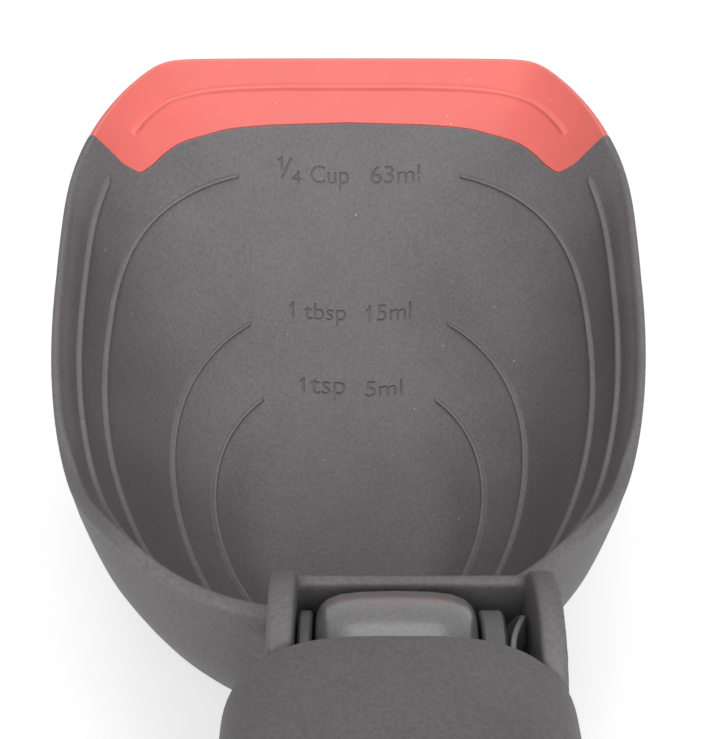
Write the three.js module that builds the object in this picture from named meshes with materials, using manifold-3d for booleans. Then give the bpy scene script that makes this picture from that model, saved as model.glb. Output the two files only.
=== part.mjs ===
// Measuring cooking spoon: a deep nylon bowl with stepped measure lines, a red scraping lip,
// and a handle that tilts on a cross pin from the spoon position up to the ladle position.
// Millimetres, +Z up. The bowl is drawn with its rim level, and the whole spoon is then laid
// back until the bowl and the end of the handle both rest on the table.

import * as THREE from "three";
import { mergeVertices } from "three/addons/utils/BufferGeometryUtils.js";
import Module from "manifold-3d";

const wasm = await Module();
wasm.setup();

// Driving sizes.
const BOWL_W = 82.2; // across the rim, outside
const HEAD_L = 105.6; // back of the heel to the scraping edge
const BOWL_DEPTH = 33.0; // rim plane to the floor, inside
const RIM_T = 1.9; // wall at the rim
const WALL_T = 2.9; // wall at the floor
const LEDGE_H = 0.45; // how far a measure line stands out
const LEDGE_W = 1.0; // width of a measure line
const RIM_ROLL = 0.55; // how far the rim's edge is rounded up
const HEEL_RISE = 10.0; // how far the rim sweeps up to the neck at the heel
const HEEL_SWELL = 3.0; // extra wall low on the heel, where the neck carries the bowl
const GAP = 0.3; // running and assembly clearance

const LIP_RIB_R = 0.55; // bead on top of the lip

const HINGE_X = 5.0; // the hinge sits right of the bowl's middle, as photographed
const HINGE_RISE = 15.4; // pin axis above the rim plane
const CLEVIS_R = 11.0; // outside radius of the ears about the pin
const EAR_T = 2.6;
const CLEVIS_SHIFT = 1.7; // middle of the clevis to the right of the handle's middle, as photographed
const CLEVIS_IN = 23.8; // clear width between the ears
const FRONT_WALL = 1.5; // wall of the clevis that faces the bowl
const FRONT_TOP = 2.8; // top of that wall above the pin axis
const SHOULDER_GAP = 1.4; // from the ears' edge to the shoulder of the handle
const PIN_R = 2.5;
const CAP_R = 4.2;
const CAP_T = 1.5;
const BUSH_T = 1.2;
const TONGUE_R = 8.9;
const TONGUE_W = 16.4;

const HANDLE_ANGLE = 25; // degrees above the rim plane in the spoon position
const HANDLE_L = 196; // pin axis to the tip of the handle
const HANDLE_W = 33.9; // across the handle at its root
const HANDLE_TOP = 10.2; // top of the handle above the pin axis, at the root
const HANDLE_LOW = 8.4; // underside below the pin axis, at the root
const ARCH = 7.0; // how far the far end droops below a straight line
const SHELL_T = 2.4;
const SCREW_R = 1.5;
const SCREW_HEAD_R = 2.8;
const SCREW_HEAD_T = 1.8;
const EYE_R = 4.5; // clear radius of the hanging eye
const EYE_T = 1.0;
const FOOT_CUT = 1.0; // depth of the flat pad where the bowl rests

const SIDES = 80; // points round the bowl
const CORNER = 60; // how crisp the rim's corners are

const half = BOWL_W / 2;
const shoulderR = CLEVIS_R + SHOULDER_GAP;

// Manifold and mesh helpers.
function solid(geometry) {
  const bare = new THREE.BufferGeometry();
  bare.setAttribute("position", geometry.getAttribute("position"));
  if (geometry.index) bare.setIndex(geometry.index);
  const merged = mergeVertices(bare, 1e-4);
  return new wasm.Manifold(
    new wasm.Mesh({
      numProp: 3,
      vertProperties: new Float32Array(merged.attributes.position.array),
      triVerts: new Uint32Array(merged.index.array),
    }),
  );
}

function geometryOf(manifold) {
  const mesh = manifold.getMesh();
  const stride = mesh.numProp;
  const points = new Float32Array(mesh.numVert * 3);
  for (let i = 0; i < mesh.numVert; i++) {
    points.set(mesh.vertProperties.subarray(i * stride, i * stride + 3), i * 3);
  }
  const geometry = new THREE.BufferGeometry();
  geometry.setAttribute("position", new THREE.BufferAttribute(points, 3));
  geometry.setIndex(new THREE.BufferAttribute(new Uint32Array(mesh.triVerts), 1));
  geometry.computeVertexNormals();
  return geometry;
}

// A closed skin over rings of equal length. A first or last ring of one point closes to a tip,
// a longer one gets a flat cap.
function skin(rings) {
  const points = [];
  const starts = [];
  for (const ring of rings) {
    starts.push(points.length);
    points.push(...ring);
  }
  const faces = [];
  for (let k = 0; k + 1 < rings.length; k++) {
    const low = rings[k];
    const high = rings[k + 1];
    const count = Math.max(low.length, high.length);
    for (let j = 0; j < count; j++) {
      const next = (j + 1) % count;
      const a = starts[k] + (low.length === 1 ? 0 : j);
      const b = starts[k] + (low.length === 1 ? 0 : next);
      const c = starts[k + 1] + (high.length === 1 ? 0 : next);
      const d = starts[k + 1] + (high.length === 1 ? 0 : j);
      if (a !== b) faces.push(a, b, c);
      if (c !== d) faces.push(a, c, d);
    }
  }
  for (const end of [0, rings.length - 1]) {
    const ring = rings[end];
    if (ring.length === 1) continue;
    const centre = new THREE.Vector3();
    ring.forEach((p) => centre.add(p));
    centre.divideScalar(ring.length);
    const hub = points.length;
    points.push(centre);
    for (let j = 0; j < ring.length; j++) {
      const a = starts[end] + j;
      const b = starts[end] + ((j + 1) % ring.length);
      if (end === 0) faces.push(hub, b, a);
      else faces.push(hub, a, b);
    }
  }
  const flat = new Float32Array(points.length * 3);
  points.forEach((p, i) => flat.set([p.x, p.y, p.z], i * 3));
  const geometry = new THREE.BufferGeometry();
  geometry.setAttribute("position", new THREE.BufferAttribute(flat, 3));
  geometry.setIndex(faces);
  return geometry;
}

function outward(manifoldGeometry) {
  const made = solid(manifoldGeometry);
  if (made.volume() > 0) return made;
  const index = manifoldGeometry.index.array;
  for (let i = 0; i < index.length; i += 3) {
    const keep = index[i + 1];
    index[i + 1] = index[i + 2];
    index[i + 2] = keep;
  }
  return solid(manifoldGeometry);
}

// A cylinder along X between two stations.
function rodX(radius, x0, x1, y, z, sides = 32) {
  const geometry = new THREE.CylinderGeometry(radius, radius, x1 - x0, sides);
  geometry.rotateZ(-Math.PI / 2);
  geometry.translate((x0 + x1) / 2, y, z);
  return outward(geometry);
}

function rodZ(radius, z0, z1, x, y, sides = 20) {
  const geometry = new THREE.CylinderGeometry(radius, radius, z1 - z0, sides);
  geometry.rotateX(Math.PI / 2);
  geometry.translate(x, y, (z0 + z1) / 2);
  return outward(geometry);
}

function block(x0, x1, y0, y1, z0, z1) {
  const geometry = new THREE.BoxGeometry(x1 - x0, y1 - y0, z1 - z0);
  geometry.translate((x0 + x1) / 2, (y0 + y1) / 2, (z0 + z1) / 2);
  return outward(geometry);
}

// An outline drawn in the YZ plane, pulled from x0 to x1.
function prismX(outline, x0, x1) {
  const geometry = new THREE.ExtrudeGeometry(new THREE.Shape(outline), {
    depth: x1 - x0,
    bevelEnabled: false,
    curveSegments: 24,
  });
  const turn = new THREE.Matrix4().makeBasis(
    new THREE.Vector3(0, 1, 0),
    new THREE.Vector3(0, 0, 1),
    new THREE.Vector3(1, 0, 0),
  );
  geometry.applyMatrix4(turn);
  geometry.translate(x0, 0, 0);
  return outward(mergeVertices(geometry.deleteAttribute("normal").deleteAttribute("uv"), 1e-4));
}

function prismZ(outline, z0, z1) {
  const geometry = new THREE.ExtrudeGeometry(new THREE.Shape(outline), {
    depth: z1 - z0,
    bevelEnabled: false,
  });
  geometry.translate(0, 0, z0);
  return outward(mergeVertices(geometry.deleteAttribute("normal").deleteAttribute("uv"), 1e-4));
}

function prismY(outline, y0, y1) {
  const geometry = new THREE.ExtrudeGeometry(new THREE.Shape(outline), {
    depth: y1 - y0,
    bevelEnabled: false,
  });
  geometry.rotateX(Math.PI / 2);
  geometry.translate(0, y1, 0);
  return outward(mergeVertices(geometry.deleteAttribute("normal").deleteAttribute("uv"), 1e-4));
}

function mix(a, b, t) {
  return a + (b - a) * t;
}

// Bowl. Each level line of the inside is a rounded outline: half width, the place where it is
// widest, its front and back reach and how square its front and back are. Widths are shares of
// half the rim, lengths shares of the head, depths shares of the bowl's depth.
const LEVELS = {
  floor: { depth: 0.988, w: 0.32, mid: -0.095, front: 0.03, back: -0.268, nf: 2.4, nb: 2.0 },
  teaspoon: { depth: 0.86, w: 0.4857, mid: -0.062, front: 0.1419, back: -0.3267, nf: 2.143, nb: 1.838 },
  tablespoon: { depth: 0.712, w: 0.6279, mid: -0.0176, front: 0.2467, back: -0.3833, nf: 2.112, nb: 1.869 },
  quarter: { depth: 0.32, w: 0.8442, mid: 0.0751, front: 0.4026, back: -0.4258, nf: 2.765, nb: 2.086 },
};
const heelY = -0.4688 * HEAD_L;
const tipY = heelY + HEAD_L;
const rimMid = 0.2106 * HEAD_L;
const rimFront = 0.6309 * HEAD_L;
const cornerOut = new THREE.Vector2(1.0955 * half, 0.5067 * HEAD_L);
const cornerIn = new THREE.Vector2(0.7096 * half, 0.5431 * HEAD_L);

function outlineRadius(angle, w, front, back, nf, nb) {
  const c = Math.abs(Math.cos(angle));
  const s = Math.sin(angle);
  const reach = s >= 0 ? front : back;
  const power = s >= 0 ? nf : nb;
  return Math.pow(Math.pow(c / w, power) + Math.pow(Math.abs(s) / reach, power), -1 / power);
}

function levelRing(level) {
  const mid = level.mid * HEAD_L;
  const ring = [];
  for (let j = 0; j < SIDES; j++) {
    const angle = (2 * Math.PI * j) / SIDES;
    const front = level.front * HEAD_L - mid;
    const back = mid - level.back * HEAD_L;
    const r = outlineRadius(angle, level.w * half, front, back, level.nf, level.nb);
    const x = r * Math.cos(angle);
    const y = mid + r * Math.sin(angle);
    ring.push(new THREE.Vector3(x, y, -level.depth * BOWL_DEPTH));
  }
  return ring;
}

function ease(t) {
  const within = THREE.MathUtils.clamp(t, 0, 1);
  return within * within * (3 - 2 * within);
}

// The rim is level from the lip back, and sweeps up to the neck over the last part of the heel.
function heelRise(y) {
  return HEEL_RISE * ease((-0.2 * HEAD_L - y) / (0.18 * HEAD_L));
}

// The rim is a shield: round sides and heel, a straight scraping edge and two blunt corners.
function rimRing(inset) {
  const mid = 0.1 * HEAD_L;
  const along = cornerIn.clone().sub(cornerOut).normalize();
  const facing = new THREE.Vector2(along.y, -along.x);
  const cornerReach = facing.x * cornerOut.x + facing.y * (cornerOut.y - mid);
  const ring = [];
  for (let j = 0; j < SIDES; j++) {
    const angle = (2 * Math.PI * j) / SIDES;
    const c = Math.cos(angle);
    const s = Math.sin(angle);
    let side = half;
    for (let step = 0; step < 30; step++) {
      const dy = mid + side * s - rimMid;
      const reach = dy >= 0 ? rimFront - rimMid : rimMid - heelY;
      const power = dy >= 0 ? 2.2875 : 2.53;
      const part = Math.pow(Math.min(Math.abs(dy) / reach, 0.9999), power);
      const wide = half * Math.pow(1 - part, 1 / power);
      const level = Math.pow(Math.pow(Math.abs(side * c) / half, power) + part, 1 / power);
      side *= Math.pow(1 / level, wide > 0 ? 0.7 : 0.5);
    }
    let blend = Math.pow(side / half, -CORNER);
    if (s > 0.02) blend += Math.pow((tipY - mid) / s / half, -CORNER);
    const toCorner = Math.abs(c) * facing.x + s * facing.y;
    if (toCorner > 0.02) blend += Math.pow(cornerReach / toCorner / half, -CORNER);
    const r = half * Math.pow(blend, -1 / CORNER) - mix(inset, inset / 2, Math.max(s, 0));
    const y = mid + r * s;
    ring.push(new THREE.Vector3(r * c, y, heelRise(y)));
  }
  return ring;
}

const floorRing = levelRing(LEVELS.floor);
const teaspoonRing = levelRing(LEVELS.teaspoon);
const tablespoonRing = levelRing(LEVELS.tablespoon);
const quarterRing = levelRing(LEVELS.quarter);
const innerRim = rimRing(RIM_T);
const pole = new THREE.Vector3(0, -0.1 * HEAD_L, -BOWL_DEPTH);

const meridians = innerRim.map(
  (top, j) =>
    new THREE.CatmullRomCurve3(
      [pole, floorRing[j], teaspoonRing[j], tablespoonRing[j], quarterRing[j], top],
      false,
      "centripetal",
    ),
);

// Inward normals of the smooth inside, from its neighbours along and across.
function insidePoint(j, u) {
  return meridians[(j + SIDES) % SIDES].getPoint(u);
}

function insideNormal(j, u) {
  const up = insidePoint(j, Math.min(u + 0.01, 1)).sub(insidePoint(j, u - 0.01));
  const round = insidePoint(j + 1, u).sub(insidePoint(j - 1, u));
  return round.cross(up).normalize().negate();
}

// Stations up each meridian, as shares of the way from the floor's middle to the rim. A measure
// line takes three stations: flush above, standing out, flush just below.
const LINES = [
  { at: 0.4, gap: 0.32 * half },
  { at: 0.6, gap: 0.372 * half },
  { at: 0.8, gap: 0.422 * half },
  { at: 0.906, gap: 0.5 * half, endY: 0.3 * HEAD_L },
];
const plain = [0.1, 0.2, 0.27, 0.34, 0.47, 0.54, 0.67, 0.735, 0.855, 0.96, 1];
const stations = plain.map((u) => ({ u, line: null, shift: 0 }));
for (const line of LINES) {
  stations.push({ u: line.at, line, shift: -0.6 * LEDGE_W - 0.12 });
  stations.push({ u: line.at, line, shift: -0.6 * LEDGE_W, stands: true });
  stations.push({ u: line.at, line, shift: 0.4 * LEDGE_W });
}
stations.sort((a, b) => a.u - b.u || a.shift - b.shift);

function innerRing(station) {
  const ring = [];
  for (let j = 0; j < SIDES; j++) {
    let u = station.u;
    if (station.line) {
      const span = insidePoint(j, u + 0.02).distanceTo(insidePoint(j, u - 0.02));
      u += (station.shift * 0.04) / span;
    }
    const p = insidePoint(j, u);
    if (station.stands) {
      const inFront = p.y > 0 && Math.abs(p.x) < station.line.gap;
      const pastEnd = p.y > (station.line.endY ?? Infinity);
      if (!inFront && !pastEnd) p.addScaledVector(insideNormal(j, station.u), LEDGE_H);
    }
    ring.push(p);
  }
  return ring;
}

// The wall low on the heel is thicker and runs straight down below the rim before it turns under.
const SWELL = [
  [0.5, 0],
  [0.7, 0.7],
  [0.8, 1],
  [0.88, 1],
  [0.95, 0.6],
  [1, 0],
];

function heelSwell(j, u) {
  const back = -Math.sin((2 * Math.PI * j) / SIDES);
  const weight = HEEL_SWELL * ease((back - 0.45) / 0.6);
  for (let k = 0; k + 1 < SWELL.length; k++) {
    const [from, low] = SWELL[k];
    const [to, high] = SWELL[k + 1];
    if (u >= from && u <= to) return weight * mix(low, high, (u - from) / (to - from));
  }
  return 0;
}

function outerRing(u) {
  const thick = mix(WALL_T, RIM_T, Math.pow(u, 2));
  const ring = [];
  for (let j = 0; j < SIDES; j++) {
    const p = insidePoint(j, u);
    p.addScaledVector(insideNormal(j, u), -thick - heelSwell(j, u));
    ring.push(p);
  }
  return ring;
}

const rings = [[pole.clone()]];
for (const station of stations) rings.push(innerRing(station));
const outerRim = outerRing(0.995);
const lastInner = rings[rings.length - 1];
rings.push(
  lastInner.map((p, j) => {
    const crest = p.clone().add(outerRim[j]).multiplyScalar(0.5);
    crest.z = p.z + RIM_ROLL;
    return crest;
  }),
);
rings.push(outerRim);
for (const u of [0.93, 0.84, 0.74, 0.64, 0.54, 0.44, 0.34, 0.22]) rings.push(outerRing(u));
rings.push([new THREE.Vector3(pole.x, pole.y, pole.z - WALL_T)]);
const headShell = outward(skin(rings));

// The space inside the bowl, for trimming what is joined on at the heel.
const cavityRings = [[pole.clone()]];
for (const u of plain) cavityRings.push(meridians.map((m) => m.getPoint(u)));
cavityRings.push(innerRim.map((p) => new THREE.Vector3(p.x, p.y, p.z + 0.2)));
const cavity = outward(skin(cavityRings));

// Line where the red lip meets the bowl, in plan, from the left corner to the right corner.
const lipHalf = [
  [0, 0.4525],
  [0.25, 0.4495],
  [0.437, 0.442],
  [0.56, 0.4275],
  [0.64, 0.4105],
  [0.7, 0.3865],
  [0.745, 0.3625],
  [0.785, 0.348],
  [0.83, 0.3475],
  [0.87, 0.353],
  [0.95, 0.3625],
  [1.15, 0.39],
];
const lipLine = [];
for (const [x, y] of lipHalf.slice().reverse()) lipLine.push(new THREE.Vector2(-x * half, y * HEAD_L));
for (const [x, y] of lipHalf.slice(1)) lipLine.push(new THREE.Vector2(x * half, y * HEAD_L));
const lipEdge = new THREE.SplineCurve(lipLine).getPoints(48);

function lipCutter(back) {
  const moved = lipEdge.map((p, i) => {
    const before = lipEdge[Math.max(i - 1, 0)];
    const after = lipEdge[Math.min(i + 1, lipEdge.length - 1)];
    const along = after.clone().sub(before).normalize();
    return new THREE.Vector2(p.x + along.y * back, p.y - along.x * back);
  });
  const far = tipY + 20;
  moved.push(new THREE.Vector2(moved[moved.length - 1].x, far));
  moved.push(new THREE.Vector2(moved[0].x, far));
  return prismZ(moved, -BOWL_DEPTH, 12);
}

// Height of the bowl's inside under a point in plan.
const probe = new THREE.Mesh(geometryOf(headShell), new THREE.MeshBasicMaterial({ side: THREE.DoubleSide }));
const caster = new THREE.Raycaster();
function insideHeight(x, y) {
  caster.set(new THREE.Vector3(x, y, 40), new THREE.Vector3(0, 0, -1));
  const hit = caster.intersectObject(probe)[0];
  return hit ? hit.point.z : 0;
}

const ribLine = [
  [0.813, 0.392],
  [0.76, 0.424],
  [0.68, 0.459],
  [0.573, 0.479],
  [0.383, 0.487],
  [0.19, 0.4905],
  [0, 0.492],
];
const ribPoints = [];
for (const [x, y] of ribLine) ribPoints.push([-x * half, y * HEAD_L]);
for (const [x, y] of ribLine.slice(0, -1).reverse()) ribPoints.push([x * half, y * HEAD_L]);
const ribPlan = new THREE.SplineCurve(ribPoints.map((p) => new THREE.Vector2(p[0], p[1]))).getPoints(24);
const ribPath = new THREE.CatmullRomCurve3(
  ribPlan.map((p) => new THREE.Vector3(p.x, p.y, insideHeight(p.x, p.y) + 0.05)),
);
const ribRings = [];
for (let k = 0; k <= 24; k++) {
  const centre = ribPath.getPoint(k / 24);
  const along = ribPath.getTangent(k / 24);
  const side = new THREE.Vector3().crossVectors(along, new THREE.Vector3(0, 0, 1)).normalize();
  const up = new THREE.Vector3().crossVectors(side, along).normalize();
  const r = k === 0 || k === 24 ? LIP_RIB_R * 0.5 : LIP_RIB_R;
  const ring = [];
  for (let i = 0; i < 6; i++) {
    const a = (2 * Math.PI * i) / 6;
    const p = centre.clone();
    p.addScaledVector(side, r * Math.cos(a));
    p.addScaledVector(up, r * Math.sin(a));
    ring.push(p);
  }
  ribRings.push(ring);
}
const lip = headShell.intersect(lipCutter(0)).add(outward(skin(ribRings)));

// Neck and clevis at the heel, joined to the bowl.
const pinZ = HINGE_RISE;
const frontFace = heelY + RIM_T - 0.1;
const pinY = frontFace - FRONT_WALL - 0.4 - TONGUE_R;
const clevisX = HINGE_X + CLEVIS_SHIFT;
const clevisX0 = clevisX - CLEVIS_IN / 2 - EAR_T;
const clevisX1 = clevisX + CLEVIS_IN / 2 + EAR_T;
const neckOutline = [];
const arcFrom = Math.acos(Math.min((frontFace - pinY) / CLEVIS_R, 1));
const arcTo = THREE.MathUtils.degToRad(222);
for (let i = 0; i <= 20; i++) {
  const angle = mix(arcFrom, arcTo, i / 20);
  neckOutline.push(
    new THREE.Vector2(pinY + CLEVIS_R * Math.cos(angle), pinZ + CLEVIS_R * Math.sin(angle)),
  );
}
const neckUnder = new THREE.QuadraticBezierCurve(
  neckOutline[neckOutline.length - 1].clone(),
  new THREE.Vector2(heelY - 4, -0.17 * BOWL_DEPTH),
  new THREE.Vector2(heelY + 6, -0.72 * BOWL_DEPTH),
);
neckOutline.push(...neckUnder.getPoints(8).slice(1));
neckOutline.push(new THREE.Vector2(heelY + 6.4, -0.7 * BOWL_DEPTH));
neckOutline.push(new THREE.Vector2(frontFace, -1));
let neck = prismX(neckOutline, clevisX0, clevisX1);
neck = neck.subtract(cavity);

// The ears' back edges are rounded in plan, and the neck narrows as it runs down the heel.
const neckPlan = new THREE.Shape();
const neckBack = pinY - CLEVIS_R;
const neckRound = EAR_T * 0.8;
neckPlan.moveTo(clevisX0, frontFace + 9);
neckPlan.lineTo(clevisX0, neckBack + neckRound);
neckPlan.quadraticCurveTo(clevisX0, neckBack, clevisX0 + neckRound, neckBack);
neckPlan.lineTo(clevisX1 - neckRound, neckBack);
neckPlan.quadraticCurveTo(clevisX1, neckBack, clevisX1, neckBack + neckRound);
neckPlan.lineTo(clevisX1, frontFace + 9);
neck = neck.intersect(prismZ(neckPlan.getPoints(5), -BOWL_DEPTH - 5, pinZ + 40));
const neckFoot = 0.27 * (clevisX1 - clevisX0);
const neckFront = [
  new THREE.Vector2(clevisX0 - 1, pinZ + 40),
  new THREE.Vector2(clevisX0 - 1, 0),
  new THREE.Vector2(HINGE_X * 0.6 - neckFoot, -0.8 * BOWL_DEPTH),
  new THREE.Vector2(HINGE_X * 0.6 + neckFoot, -0.8 * BOWL_DEPTH),
  new THREE.Vector2(clevisX1 + 1, 0),
  new THREE.Vector2(clevisX1 + 1, pinZ + 40),
];
neck = neck.intersect(prismY(neckFront, pinY - 40, frontFace + 20));

// A deck fills the corner between the ears and the rim, a little wider than the ears.
const deckTop = 0.8 * HEEL_RISE;
const deckLow = -0.55 * BOWL_DEPTH;
const deckOutline = [
  new THREE.Vector2(heelY + 14, deckLow),
  new THREE.Vector2(heelY + 14, deckTop),
  new THREE.Vector2(frontFace - 2.5, deckTop),
  new THREE.Vector2(heelY - 1.4, deckTop - 4),
  new THREE.Vector2(heelY - 0.4, -1),
  new THREE.Vector2(heelY + 2, 0.6 * deckLow),
  new THREE.Vector2(heelY + 6, deckLow),
];
const deck = prismX(deckOutline, clevisX0 - 5, clevisX1 - 0.5).subtract(cavity);
neck = neck.add(deck);

const slotFloor = pinZ - TONGUE_R - 0.5;
const slotFront = frontFace - FRONT_WALL;
const slotX0 = clevisX - CLEVIS_IN / 2;
const slotX1 = clevisX + CLEVIS_IN / 2;
const slot = block(slotX0, slotX1, pinY - HEAD_L, slotFront, slotFloor, pinZ + HEAD_L);

const wallTop = pinZ + FRONT_TOP;
const relief = block(slotX0, slotX1, slotFront - 1, frontFace + 1, wallTop, pinZ + HEAD_L);

let bowl = headShell.subtract(lipCutter(GAP)).add(neck).subtract(slot).subtract(relief);
bowl = bowl.subtract(rodX(PIN_R + GAP, clevisX0 - 1, clevisX1 + 1, pinY, pinZ));
bowl = bowl.subtract(rodX(CAP_R + GAP, clevisX0 - 1, clevisX0 + CAP_T + GAP, pinY, pinZ));
bowl = bowl.subtract(rodX(CAP_R + GAP, clevisX1 - CAP_T - GAP, clevisX1 + 1, pinY, pinZ));

// Hinge hardware, drawn about the pin with the pin along X.
const pinHalf = CLEVIS_IN / 2 + EAR_T - CAP_T - 2 * GAP;
const pin = rodX(PIN_R, -pinHalf, pinHalf, 0, 0);
const capDome = [
  new THREE.Vector2(0, 0),
  new THREE.Vector2(CAP_R, 0),
  new THREE.Vector2(CAP_R, CAP_T - 0.4),
  new THREE.Vector2(CAP_R - 0.4, CAP_T),
  new THREE.Vector2(0, CAP_T + 0.2),
];
const capGeometry = new THREE.LatheGeometry(capDome, 32);
capGeometry.rotateZ(-Math.PI / 2);
const capRight = outward(mergeVertices(capGeometry.deleteAttribute("normal").deleteAttribute("uv"), 1e-4));
const bushR = PIN_R + GAP + BUSH_T;
const bush = rodX(bushR, -TONGUE_W / 2, TONGUE_W / 2, 0, 0).subtract(rodX(PIN_R + GAP, -20, 20, 0, 0));
const roomLeft = (CLEVIS_IN - TONGUE_W) / 2 - CLEVIS_SHIFT;
const roomRight = (CLEVIS_IN - TONGUE_W) / 2 + CLEVIS_SHIFT;
const washerR = TONGUE_R - 2.0;
const collar = rodX(washerR, 0, roomLeft - 2 * GAP, 0, 0).subtract(rodX(PIN_R + GAP, -20, 20, 0, 0));
const washerT = 2.4;
const washer = rodX(washerR, 0, washerT, 0, 0).subtract(rodX(PIN_R + GAP, -20, 20, 0, 0));
const springRoom = roomRight - washerT - 3 * GAP;
const springWire = 0.6;
const springRings = [];
for (let k = 0; k < 36; k++) {
  const angle = (2 * Math.PI * k) / 36;
  const wave = ((springRoom - springWire) / 2) * Math.sin(3 * angle);
  const ring = [];
  for (const [r, t] of [
    [PIN_R + 0.9, -1],
    [washerR - 0.5, -1],
    [washerR - 0.5, 1],
    [PIN_R + 0.9, 1],
  ]) {
    const x = springRoom / 2 + wave + (t * springWire) / 2;
    ring.push(new THREE.Vector3(x, r * Math.cos(angle), r * Math.sin(angle)));
  }
  springRings.push(ring);
}
function closedBand(bandRings) {
  const count = bandRings.length;
  const wide = bandRings[0].length;
  const points = new Float32Array(count * wide * 3);
  const faces = [];
  bandRings.forEach((ring, k) => ring.forEach((p, i) => points.set([p.x, p.y, p.z], (k * wide + i) * 3)));
  for (let k = 0; k < count; k++) {
    const to = (k + 1) % count;
    for (let i = 0; i < wide; i++) {
      const next = (i + 1) % wide;
      faces.push(k * wide + i, k * wide + next, to * wide + next);
      faces.push(k * wide + i, to * wide + next, to * wide + i);
    }
  }
  const geometry = new THREE.BufferGeometry();
  geometry.setAttribute("position", new THREE.BufferAttribute(points, 3));
  geometry.setIndex(faces);
  return outward(geometry);
}
const waveSpring = closedBand(springRings);

// Handle, drawn about the pin with its length along -Y.
const STATIONS = [
  { at: 0.01, w: 1.0, top: 1.0, low: 1.0 },
  { at: 0.06, w: 1.0, top: 1.02, low: 1.01 },
  { at: 0.12, w: 0.985, top: 1.02, low: 1.0 },
  { at: 0.2, w: 0.935, top: 0.98, low: 0.95 },
  { at: 0.3, w: 0.86, top: 0.86, low: 0.87 },
  { at: 0.42, w: 0.8, top: 0.755, low: 0.82 },
  { at: 0.55, w: 0.79, top: 0.69, low: 0.8 },
  { at: 0.68, w: 0.83, top: 0.645, low: 0.77 },
  { at: 0.8, w: 0.88, top: 0.605, low: 0.73 },
  { at: 0.9, w: 0.89, top: 0.56, low: 0.69 },
  { at: 0.935, w: 0.84, top: 0.54, low: 0.66 },
  { at: 0.96, w: 0.73, top: 0.505, low: 0.62 },
  { at: 0.98, w: 0.565, top: 0.44, low: 0.54 },
  { at: 0.992, w: 0.39, top: 0.335, low: 0.4 },
  { at: 1.0, w: 0.12, top: 0.13, low: 0.14 },
];

function droop(y) {
  return -ARCH * Math.pow(y / HANDLE_L, 2);
}

function sizeAt(at) {
  let k = 0;
  while (k < STATIONS.length - 2 && STATIONS[k + 1].at < at) k++;
  const a = STATIONS[k];
  const b = STATIONS[k + 1];
  const t = THREE.MathUtils.clamp((at - a.at) / (b.at - a.at), 0, 1);
  return {
    w: (mix(a.w, b.w, t) * HANDLE_W) / 2,
    top: mix(a.top, b.top, t) * HANDLE_TOP,
    low: mix(a.low, b.low, t) * HANDLE_LOW,
  };
}

// Half of the handle's section, upper or lower, less a wall all round where one is given.
function halfSection(at, upper, wall) {
  const size = sizeAt(at);
  const y = -at * HANDLE_L;
  const base = droop(y) + (upper ? GAP / 2 : -GAP / 2);
  const w = size.w - wall;
  const tall = (upper ? size.top : size.low) - wall;
  const ring = [];
  const count = 14;
  for (let i = 0; i <= count; i++) {
    const angle = (Math.PI * i) / count;
    const c = Math.cos(angle);
    const s = Math.sin(angle);
    const x = w * Math.sign(c) * Math.pow(Math.abs(c), 2 / 3.4);
    const z = tall * Math.pow(Math.abs(s), 2 / 3.4);
    ring.push(new THREE.Vector3(x, y, base + (upper ? z : -z)));
  }
  if (wall) {
    const over = upper ? -GAP : GAP;
    ring.push(new THREE.Vector3(-w, y, base + over));
    ring.push(new THREE.Vector3(w, y, base + over));
  }
  return ring;
}

function halfLoft(upper, wall, from, to) {
  const ats = [from, ...STATIONS.map((s) => s.at).filter((a) => a > from && a < to), to];
  return outward(skin(ats.map((at) => halfSection(at, upper, wall))));
}

const cavityFrom = (shoulderR + 5) / HANDLE_L;
const cavityTo = 0.945;
const shoulderCut = rodX(shoulderR, -40, 40, 0, 0, 48);

const screwAts = [0.2, 0.48, 0.76];
const eyeAt = 0.895;
const eyeY = -eyeAt * HANDLE_L;
const eyeOut = EYE_R + EYE_T;

// Inner bar of the handle: the tongue of the hinge and a flat spine.
const barHalf = 3.0;
const coreWidth = 12.0;
const coreRings = [];
for (const at of [0.09, 0.2, 0.35, 0.5, 0.65, 0.8]) {
  const y = -at * HANDLE_L;
  const z = droop(y);
  coreRings.push([
    new THREE.Vector3(coreWidth / 2, y, z - barHalf),
    new THREE.Vector3(coreWidth / 2, y, z + barHalf),
    new THREE.Vector3(-coreWidth / 2, y, z + barHalf),
    new THREE.Vector3(-coreWidth / 2, y, z - barHalf),
  ]);
}
const rootInside = (shoulderR + 7.6) / HANDLE_L;
let core = rodX(TONGUE_R, -TONGUE_W / 2, TONGUE_W / 2, 0, 0, 48);
core = core.add(block(-TONGUE_W / 2, TONGUE_W / 2, -rootInside * HANDLE_L, 0, -6, 6.5));
core = core.add(outward(skin(coreRings)));
core = core.subtract(rodX(bushR + GAP, -20, 20, 0, 0));

let upperShell = halfLoft(true, 0, STATIONS[0].at, 1);
upperShell = upperShell.subtract(halfLoft(true, SHELL_T, cavityFrom, cavityTo));
let lowerShell = halfLoft(false, 0, STATIONS[0].at, 1);
lowerShell = lowerShell.subtract(halfLoft(false, SHELL_T, cavityFrom, cavityTo));

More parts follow.
